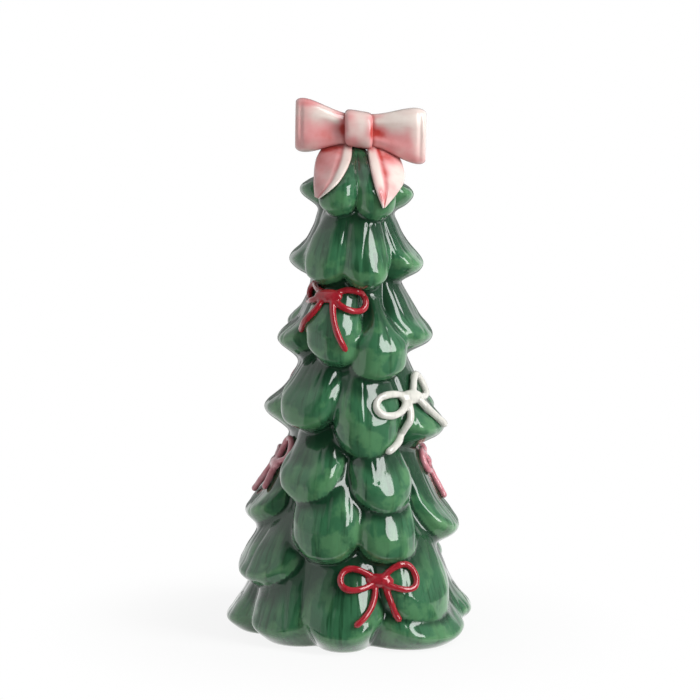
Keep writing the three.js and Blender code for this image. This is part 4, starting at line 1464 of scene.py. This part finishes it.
@dataclass
class RibbonBow:
    """The bow on the tip: a knot, two pleated loops and two tails of modelled clay."""

    outside: Outside
    across: float = 1.0
    knot_wide: float = 12.4
    knot_tall: float = 16.5
    knot_deep: float = 17.5
    knot_lean: float = 0.9  # how much lower its right side is than its middle
    knot_pink: float = 0.55
    loop_deep: float = 15.5
    overlap: float = 3.0  # how far a loop's neck runs into the knot
    pressed: float = 1.0
    dimple: float = 0.44
    pleat: float = 0.7
    thick: float = 2.4
    steepest: float = 1.6  # a tail leaves a surface that falls away faster than this
    sides: int = 96
    loops: tuple[RibbonLoop, ...] = (
        RibbonLoop("ribbon_left_loop", side=-1, long=21.7, rise=1.9, neck=13.4, end=25.2, pink=0.54),
        RibbonLoop("ribbon_right_loop", side=1, long=23.4, rise=-2.9, neck=14.0, end=26.2, pink=0.34),
    )
    tails: tuple[RibbonTail, ...] = (
        RibbonTail(
            "ribbon_left_tail",
            left_edge=((-14.5, -6), (-18.6, -13), (-19.4, -21.5), (-18.9, -28.4)),
            right_edge=((-2.8, -6), (-3.4, -13.2), (-8.2, -21.8), (-16.6, -29.2)),
            band_right=True,
            band_wide=0.3,
            pink=0.95,
            seam_pink=0.21,
        ),
        RibbonTail(
            "ribbon_right_tail",
            left_edge=((3.4, -6), (5, -15), (7.4, -24), (10.8, -32.6)),
            right_edge=((15, -7), (19.6, -15), (20, -22.5), (12.6, -31.8)),
            band_right=False,
            band_wide=0.34,
            pink=0.5,
            seam_pink=0.7,
        ),
    )

    SOFTNESS = 0.75  # 1 makes an oval ring and a lower power a squarer one
    KNOT_RINGS = 33
    LOOP_RINGS = 64
    KNOT_END = 0.72  # what is left of the knot's size at its ends
    KNOT_SQUARENESS = 6
    LOOP_END = {"tall": 0.78, "deep": 0.6, "squareness": 8}  # what is left of its size at its rounded end
    LOOP_NECK_DEEP = 0.6  # its depth at the neck, as a share of its full depth
    LOOP_SWELL = 0.75  # the half turns of the sine that fills it out, so that it is deepest at two thirds
    PLEAT_AT = (0.5, 0.2)  # how far from the middle of its height a pleat's ridge lies, and its width
    CREASE_AT = (0.9, 0.035)  # how far along a loop a crease crosses it, and its width
    PLEAT_SHARES = (1.4, 0.7)  # how high the ridges and how deep the crease, as shares of pleat
    FINE_HOLLOWS = (12, 0.6)  # the passes that find its hollows, and how much glaze runs into them
    WIDE_HOLLOWS = (60, 0.5)
    TAIL_GRID = (64, 34)  # rows and columns
    TAIL_GAP = 0.1  # between a tail and the branches
    TAIL_FROM_MIDDLE = 0.5  # how far in front of the tree's axis a tail starts, where it feels no branch
    FELT_WIDE = 0.6  # how far aside a tail feels the branches
    BRUSH_SLOWED = (0.8, 0.15)  # how much slower the brush's noise runs up and through the bow

    @property
    def height(self) -> float:
        """The height of the knot's middle."""
        return TREE_TOP - self.pressed + self.knot_tall / 2

    def build(self) -> list[tuple[bpy.types.Object, str]]:
        """Builds and dresses the five pieces.

        Returns:
            Each piece with the CAD node that it replaces.
        """
        glaze = Glaze.RIBBON.value.material()
        shapes = {"ribbon_knot": self._knot()}
        shapes |= {loop.name: self._loop(loop) for loop in self.loops}
        shapes |= {tail.name: self._tail(tail) for tail in self.tails}
        return [(self._dress(name, rings, pink, glaze), name) for name, (rings, pink) in shapes.items()]

    def _dress(
        self, name: str, rings: np.ndarray, pink: np.ndarray, glaze: bpy.types.Material
    ) -> bpy.types.Object:
        """Makes a piece from its rings and dresses it.

        Args:
            name: The name of the CAD node that it stands for.
            rings: Its rings of points.
            pink: How much pink each point has.
            glaze: Its material.

        Returns:
            The piece.
        """
        points, faces = loft(rings)
        made = show(name + "_glazed", make_mesh(name + "_glazed", points, faces))
        mesh = made.data
        mesh.materials.append(glaze)
        store(mesh, "wash", np.append(pink.ravel(), [pink[0].mean(), pink[-1].mean()]))
        from_knot = np.abs(points[:, 0] - self.across)
        up, through = self.BRUSH_SLOWED
        store(mesh, "brush", np.stack([points[:, 2] * up, from_knot, points[:, 1] * through], axis=1))
        store_hollows(mesh, self.FINE_HOLLOWS, self.WIDE_HOLLOWS)
        return made

    def _ring(self, across: float, up: float, deep: float, tall: float, dimple: float) -> np.ndarray:
        """A ring across the ribbon: a soft rectangle, drawn in half way up its front and back.

        Args:
            across: Its place, across from the knot's middle.
            up: Its place, up from the knot's middle.
            deep: Its size from front to back.
            tall: Its height.
            dimple: How far it is drawn in, as a share of its depth.

        Returns:
            The ring's points.
        """
        a = np.linspace(0, 2 * math.pi, self.sides, endpoint=False)
        soft_sin, soft_cos = (np.sign(v) * np.abs(v) ** self.SOFTNESS for v in (np.sin(a), np.cos(a)))
        drawn = 1 - dimple * (1 - soft_sin**2)
        x = np.full_like(a, self.across + across)
        return np.stack([x, deep / 2 * soft_cos * drawn, self.height + up + tall / 2 * soft_sin], axis=1)

    def _knot(self) -> tuple[np.ndarray, np.ndarray]:
        """The knot, a band of ribbon wrapped round the middle.

        Returns:
            Its rings, and how much pink each point has.
        """
        rings = []
        for along in np.sin(np.linspace(-math.pi / 2, math.pi / 2, self.KNOT_RINGS)):
            swell = self.KNOT_END + (1 - self.KNOT_END) * (1 - along**self.KNOT_SQUARENESS) ** 0.5
            deep, tall = self.knot_deep * swell, self.knot_tall * swell
            ring = self._ring(along * self.knot_wide / 2, 0, deep, tall, 0)
            ring[:, 2] -= self.knot_lean * along
            rings.append(ring)
        rings = np.array(rings)
        return rings, self.knot_pink + self._dabs(rings[..., 0], rings[..., 2])

    def _loop(self, loop: RibbonLoop) -> tuple[np.ndarray, np.ndarray]:
        """A loop that widens from the knot, with a hollow between its two pleats.

        Args:
            loop: The loop.

        Returns:
            Its rings, and how much pink each point has.
        """
        in_knot = self.knot_wide / 2 - self.overlap
        end_tall, end_deep, squareness = self.LOOP_END.values()
        high, low = self.PLEAT_SHARES
        rings = []
        for share in np.sin(np.linspace(0, math.pi / 2, self.LOOP_RINGS)):
            rounding = math.sqrt(1 - share**squareness)
            widened = loop.neck + (loop.end - loop.neck) * float(smoothstep(share, 0, 1))
            tall = widened * (end_tall + (1 - end_tall) * rounding)
            swell = math.sin(share * math.pi * self.LOOP_SWELL)
            fullness = self.LOOP_NECK_DEEP + (1 - self.LOOP_NECK_DEEP) * swell
            deep = self.loop_deep * fullness * (end_deep + (1 - end_deep) * rounding)
            across = loop.side * (in_knot + (loop.long + self.overlap) * share)
            ring = self._ring(across, loop.rise * share, deep, tall, self.dimple * (1 - share**2))
            aside = np.abs((ring[:, 2] - self.height - loop.rise * share) / (tall / 2))
            ridge = bell(aside, *self.PLEAT_AT) * (1 - share)
            crease = bell(share, *self.CREASE_AT) * np.clip(1 - aside**3, 0, 1)
            outward = np.sign(ring[:, 1]) * np.clip(np.abs(ring[:, 1]) / 2, 0, 1)
            ring[:, 1] += outward * self.pleat * (high * ridge - low * crease)
            rings.append(ring)
        # The rings run towards the right, so that the faces point out
        rings = np.array(rings)[:: loop.side]
        return rings, loop.pink + self._dabs(rings[..., 0], rings[..., 2])

    def _dabs(self, x: np.ndarray, z: np.ndarray) -> np.ndarray:
        """How much pink the dabs leave at points seen from the front."""
        return sum(dab.on(x - self.across, z - self.height) for dab in DABS)

    def _tail(self, tail: RibbonTail) -> tuple[np.ndarray, np.ndarray]:
        """A tail: a ribbon with one turned edge that lies over the branches in front.

        Args:
            tail: The tail.

        Returns:
            Its rings, and how much pink each point has.
        """
        rows, columns = self.TAIL_GRID
        down = np.linspace(0, 1, rows + 1)[:, None]
        share = np.linspace(0, 1, columns + 1)[None, :]
        left, right = (
            through_knots(np.array(edge, float), down[:, 0]) for edge in (tail.left_edge, tail.right_edge)
        )
        grid = left[:, None] * (1 - share[..., None]) + right[:, None] * share[..., None]
        x, z = self.across + grid[..., 0], self.height + grid[..., 1]
        coarse = self._felt_from_front(x, z)[::2, ::2]
        flat = np.stack([x, z], axis=-1)
        apart = np.linalg.norm(flat[:, :, None, None] - flat[None, None, ::2, ::2], axis=-1)
        forward = (coarse[None, None] - self.steepest * apart).max(axis=(2, 3))
        forward = blurred(blurred(forward, 1.5, 0, False), 1.5, 1, False)
        from_band = 1 - share if tail.band_right else share
        band = 1 - smoothstep(from_band, *(tail.band_wide * share_of for share_of in tail.BAND_ENDS))
        seam = bell(from_band, tail.band_wide * tail.SEAM_AT, tail.SEAM_WIDE)
        rounding = np.sqrt(1 - np.abs(2 * share - 1) ** tail.SQUARENESS)
        relief = tail.BAND_PROUD * band - tail.SEAM_DEEP * seam * (1 - tail.SEAM_FADE * down)
        body = self.thick * (tail.EDGE_THICK + (1 - tail.EDGE_THICK) * rounding)
        grown = tail.ROOT_THICK + (1 - tail.ROOT_THICK) * smoothstep(down, 0, tail.ROOT_LONG)
        proud = (body + relief * rounding) * grown
        under = np.stack([x, -forward - self.TAIL_GAP, z], axis=-1)
        over = np.stack([x, -forward - self.TAIL_GAP - proud, z], axis=-1)
        # More pink at the top of each tail, under the loops, is painted shadow
        brushed = tail.PINK_END + tail.SHADOW_PINK * (1 - smoothstep(down, *tail.SHADOW_PINK_FADE))
        pink = tail.pink * (1 - tail.BAND_PALER * band) * brushed + tail.seam_pink * seam
        pink = pink + self._dabs(x, z)
        return np.concatenate([under, over[:, ::-1]], axis=1), np.concatenate([pink, pink[:, ::-1]], axis=1)

    def _felt_from_front(self, x: np.ndarray, z: np.ndarray) -> np.ndarray:
        """How far forward the tree reaches at places seen from the front.

        Args:
            x: Places across.
            z: Heights.

        Returns:
            Distances in front of the tree's axis.
        """
        azimuth = np.linspace(-90, 90, 361)
        radius = self.outside.sample(self.outside.radius, azimuth, z.ravel()[:, None])
        sideways = radius * np.sin(np.radians(azimuth))
        depth = radius * np.cos(np.radians(azimuth))
        near = np.abs(sideways - x.ravel()[:, None]) < self.FELT_WIDE
        return np.where(near, depth, self.TAIL_FROM_MIDDLE).max(axis=1).reshape(x.shape)


def surface_of(piece: bpy.types.Object) -> BVHTree:
    """A piece's surface, in which the nearest place to a point can be found."""
    mesh = piece.data
    return BVHTree.FromPolygons([v.co for v in mesh.vertices], [p.vertices for p in mesh.polygons])


def mark_contact_pool_and_shade(pieces: list[bpy.types.Object], reach: float = 2.2) -> None:
    """Stores on each piece how near its points are to the other pieces, where glaze runs together and painted
    contact shade darkens it.

    Args:
        pieces: The pieces.
        reach: The distance in millimetres at which another piece is no longer felt.
    """
    most = 0.8  # how far pooled glaze and painted contact shade darken the glaze where two pieces touch
    away = reach * MM
    surfaces = {piece.name: surface_of(piece) for piece in pieces}
    for piece in pieces:
        points = points_of(piece.data) * MM
        near = np.zeros(len(points))
        for other in pieces:
            if other is piece:
                continue
            beside = points_of(other.data) * MM
            inside = np.all((points > beside.min(0) - away) & (points < beside.max(0) + away), axis=1)
            for index in np.flatnonzero(inside):
                *_, distance = surfaces[other.name].find_nearest(Vector(points[index]), away)
                if distance is not None:
                    near[index] = max(near[index], 1 - distance / away)
        store(piece.data, "beside", near * most)


# The studio, in metres

WHITE = (1.0, 1.0, 1.0, 1.0)
TREE_MIDDLE = Vector((0.0, 0.0, 0.12))


def seen_directly(tree: bpy.types.NodeTree) -> bpy.types.NodeSocket:
    """A node tree's answer to whether a ray is seen, mirrored or seen through glass, and not diffuse light.

    Args:
        tree: The node tree of a material or a world.

    Returns:
        The socket with 1 or 0.
    """
    path = add(tree, "ShaderNodeLightPath").outputs
    seen = path["Is Camera Ray"]
    for ray in ("Is Glossy Ray", "Is Transmission Ray"):
        seen = add(tree, "ShaderNodeMath", {0: seen, 1: path[ray]}, operation="MAXIMUM").outputs[0]
    return seen


def place_round_tree(azimuth: float, elevation: float, away: float) -> Vector:
    """A place at an azimuth and an elevation in degrees, and a distance from the tree's middle."""
    rise = math.radians(elevation)
    return TREE_MIDDLE + Vector(around(azimuth, away * math.cos(rise), away * math.sin(rise)).tolist())


def rectangle(half_wide: float, half_tall: float) -> list[tuple[float, float, float]]:
    """The corners of a flat rectangle round the origin."""
    return [(x * half_wide, y * half_tall, 0) for x, y in ((-1, -1), (1, -1), (1, 1), (-1, 1))]


def show_patches(name: str, corners: list, material: bpy.types.Material) -> bpy.types.Object:
    """Puts a thing of the studio in the scene that is made of flat patches.

    Args:
        name: Its name.
        corners: The corners of its patches, four for each, in metres.
        material: Its material.

    Returns:
        The thing.
    """
    mesh = bpy.data.meshes.new(name)
    mesh.from_pydata(corners, [], [tuple(range(i, i + 4)) for i in range(0, len(corners), 4)])
    mesh.materials.append(material)
    return show(name, mesh)


@dataclass(frozen=True)
class Cloth:
    """One cloth round the set: the azimuths where it starts and ends, its grey, and how much it glows."""

    name: str
    start: int
    end: int
    tone: float
    glow: float = 0.0
    on_floor: bool = False

    STEP = 5  # the width of its patches in degrees
    RISES = (-10, 85)  # the elevations where it starts and ends
    AWAY = 2.6
    HUNG = 0.1  # the height of the middle of the sphere that it lies on
    FLOOR_START = 0.07
    FLOOR_LIFT = 0.001

    def corners(self) -> list:
        """The corners of its patches, four for each.

        Returns:
            Their places in metres.
        """
        patches = []
        for azimuth in range(self.start, self.end, self.STEP):
            after = azimuth + self.STEP
            if self.on_floor:
                radii = np.array((self.FLOOR_START, self.AWAY, self.AWAY, self.FLOOR_START))
                turns = np.array((azimuth, azimuth, after, after))
                patches.append(around(turns, radii, np.full(4, self.FLOOR_LIFT)))
                continue
            for rise in range(*self.RISES, self.STEP):
                above = rise + self.STEP
                rises = np.radians(np.array((rise, rise, above, above)))
                turns = np.array((azimuth, after, after, azimuth))
                radii, heights = self.AWAY * np.cos(rises), self.AWAY * np.sin(rises) + self.HUNG
                patches.append(around(turns, radii, heights))
        return np.concatenate(patches).tolist()

    def material(self) -> bpy.types.Material:
        """Matt cloth of its grey, lit from behind as far as it glows.

        Returns:
            The material.
        """
        made = new_material(self.name)
        tree = made.node_tree
        look = {
            "Base Color": (self.tone, self.tone, self.tone, 1.0),
            "Roughness": 1.0,
            "Emission Color": WHITE,
            "Emission Strength": self.glow,
        }
        shader = add(tree, "ShaderNodeBsdfPrincipled", look)
        add(tree, "ShaderNodeOutputMaterial", {"Surface": shader.outputs[0]})
        return made


@dataclass(frozen=True)
class Studio:
    """A plain white studio with a tall soft box at the front right."""

    camera_place: tuple[float, float, float] = (0.0, -1.150, 0.287)
    camera_pitch: float = 7.94  # degrees below the horizon
    camera_yaw: float = 0.066
    camera_roll: float = 0.9
    lens: float = 133.97
    sensor: float = 36.0
    fill: float = 0.45  # the strength of the light from all round
    table_half: float = 4.0
    shadow_kept: tuple[float, float] = (0.06, 0.15)  # the shadow fades between these distances
    shadow_white: float = 0.88  # how white the table is nearest to the tree
    box_size: tuple[float, float] = (0.46, 1.25)
    lamp_at: tuple[float, float, float] = (64, 32, 1.25)  # azimuth, elevation and distance
    lamp_power: float = 18.0  # watts
    strip_at: tuple[float, float, float] = (45, 30, 1.24)
    strip_glow: float = 9.0
    cloths: tuple[Cloth, ...] = (
        Cloth("dark_front_cloth", -30, 60, 0.02),
        Cloth("white_left_cloth", -130, -50, 0.0, 0.84),
        Cloth("pale_left_cloth", -50, -30, 0.0, 0.38),
        Cloth("pale_right_cloth", 60, 75, 0.45),
        Cloth("bright_right_cloth", 75, 130, 0.6, 0.1),
        Cloth("grey_back_cloth", 155, 205, 0.4),
        Cloth("dark_floor_cloth", -45, 75, 0.1, on_floor=True),
        Cloth("grey_floor_cloth", 155, 205, 0.4, on_floor=True),
    )

    def build(self) -> None:
        """Builds the table, the cloths, the lights, the world and the camera."""
        self._table()
        for cloth in self.cloths:
            self._hang(cloth.name, cloth.corners(), cloth.material())
        self._soft_box()
        self._strip()
        self._world()
        self._camera()

    def _table(self) -> None:
        """A white table top that shows as the white background and keeps a faint shadow."""
        made = new_material("white_table_top")
        tree = made.node_tree
        matt = add(tree, "ShaderNodeBsdfDiffuse", {"Color": (0.8, 0.8, 0.8, 1.0)})
        white = add(tree, "ShaderNodeEmission", {"Color": WHITE, "Strength": 1.0})
        place = add(tree, "ShaderNodeTexCoord").outputs["Object"]
        away = add(tree, "ShaderNodeVectorMath", {0: place}, operation="LENGTH").outputs["Value"]
        near, far = self.shadow_kept
        fade = {"Value": away, "From Min": near, "From Max": far, "To Min": self.shadow_white, "To Max": 1.0}
        whiter = add(tree, "ShaderNodeMapRange", fade, interpolation_type="SMOOTHSTEP").outputs["Result"]
        share = add(tree, "ShaderNodeMath", {0: seen_directly(tree), 1: whiter}, operation="MULTIPLY")
        mixed = {0: share.outputs[0], 1: matt.outputs[0], 2: white.outputs[0]}
        both = add(tree, "ShaderNodeMixShader", mixed)
        add(tree, "ShaderNodeOutputMaterial", {"Surface": both.outputs[0]})
        floor = show_patches("table_top", rectangle(self.table_half, self.table_half), made)

    def _hang(self, name: str, corners: list, material: bpy.types.Material) -> None:
        """Hangs a cloth that only reflections see, so that the glaze mirrors few lights.

        Args:
            name: Its name.
            corners: The corners of its patches, four for each, in metres.
            material: Its material.
        """
        cloth = show_patches(name, corners, material)
        for ray in ("camera", "diffuse", "shadow", "transmission"):
            setattr(cloth, "visible_" + ray, False)

    def _soft_box(self) -> None:
        """The key light: an area lamp that faces the tree and isn't mirrored."""
        lamp = bpy.data.lights.new("key_soft_box", "AREA")
        lamp.shape = "RECTANGLE"
        lamp.size, lamp.size_y = self.box_size
        lamp.energy = self.lamp_power
        made = show("key_soft_box", lamp)
        made.location = place_round_tree(*self.lamp_at)
        made.rotation_mode = "QUATERNION"
        made.rotation_quaternion = (TREE_MIDDLE - made.location).to_track_quat("-Z", "Y")
        made.visible_glossy = False

    def _strip(self) -> None:
        """The soft box's bright cloth, which only reflections see, as the highlights of the glaze."""
        wide, tall = (size / 2 for size in self.box_size)
        place = place_round_tree(*self.strip_at)
        turn = (place - TREE_MIDDLE).to_track_quat("Z", "Y")
        corners = [tuple(place + turn @ Vector(corner)) for corner in rectangle(wide, tall)]
        made = new_material("key_soft_box_cloth")
        tree = made.node_tree
        light = add(tree, "ShaderNodeEmission", {"Color": WHITE, "Strength": self.strip_glow})
        add(tree, "ShaderNodeOutputMaterial", {"Surface": light.outputs[0]})
        self._hang("key_soft_box_cloth", corners, made)

    def _world(self) -> None:
        """An even white surrounding: full white where it is seen or mirrored, and a soft fill light."""
        world = bpy.data.worlds.new("white_studio")
        bpy.context.scene.world = world
        world.use_nodes = True
        tree = world.node_tree
        tree.nodes.clear()
        brightness = {"Value": seen_directly(tree), "To Min": self.fill, "To Max": 1.0}
        strength = add(tree, "ShaderNodeMapRange", brightness).outputs["Result"]
        background = add(tree, "ShaderNodeBackground", {"Color": WHITE, "Strength": strength})
        add(tree, "ShaderNodeOutputWorld", {"Surface": background.outputs[0]})

    def _camera(self) -> None:
        """The camera at the photograph's viewing angle."""
        data = bpy.data.cameras.new("camera")
        data.lens = self.lens
        data.sensor_width = self.sensor
        camera = show("camera", data)
        camera.location = self.camera_place
        camera.rotation_mode = "QUATERNION"
        pitch, yaw = math.radians(self.camera_pitch), math.radians(self.camera_yaw)
        look = Vector((-math.sin(yaw) * math.cos(pitch), math.cos(yaw) * math.cos(pitch), -math.sin(pitch)))
        level = look.to_track_quat("-Z", "Y")
        camera.rotation_quaternion = level @ Quaternion((0, 0, 1), math.radians(self.camera_roll))
        bpy.context.scene.camera = camera
        bpy.context.scene.view_settings.view_transform = "Standard"


def ride_in_place_of(piece: bpy.types.Object, node: str) -> None:
    """Makes a piece ride on the tree's body in place of a CAD node.

    Args:
        piece: The piece.
        node: The CAD node that it stands for.
    """
    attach(piece, "root")
    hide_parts(node)
    triangles = sum(len(p.vertices) - 2 for p in piece.data.polygons)
    log.info("%s replaces %s with %d triangles", piece.name, node, triangles)


def main() -> None:
    """Builds the tree's looks piece by piece, and then the studio."""
    logging.basicConfig(level=logging.INFO, format="%(message)s")
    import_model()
    outside = Outside()
    casting = TreeCasting(outside).build()
    ribbon = RibbonBow(outside).build()
    bows = [(bow, bow.build(outside)) for bow in small_bows()]
    mark_contact_pool_and_shade([piece for piece, _ in ribbon] + [casting])
    ride_in_place_of(casting, "tree_casting")
    for piece, node in ribbon:
        ride_in_place_of(piece, node)
    for bow, piece in bows:
        ride_in_place_of(piece, bow.name)
    Studio().build()


if __name__ == "__main__":
    main()
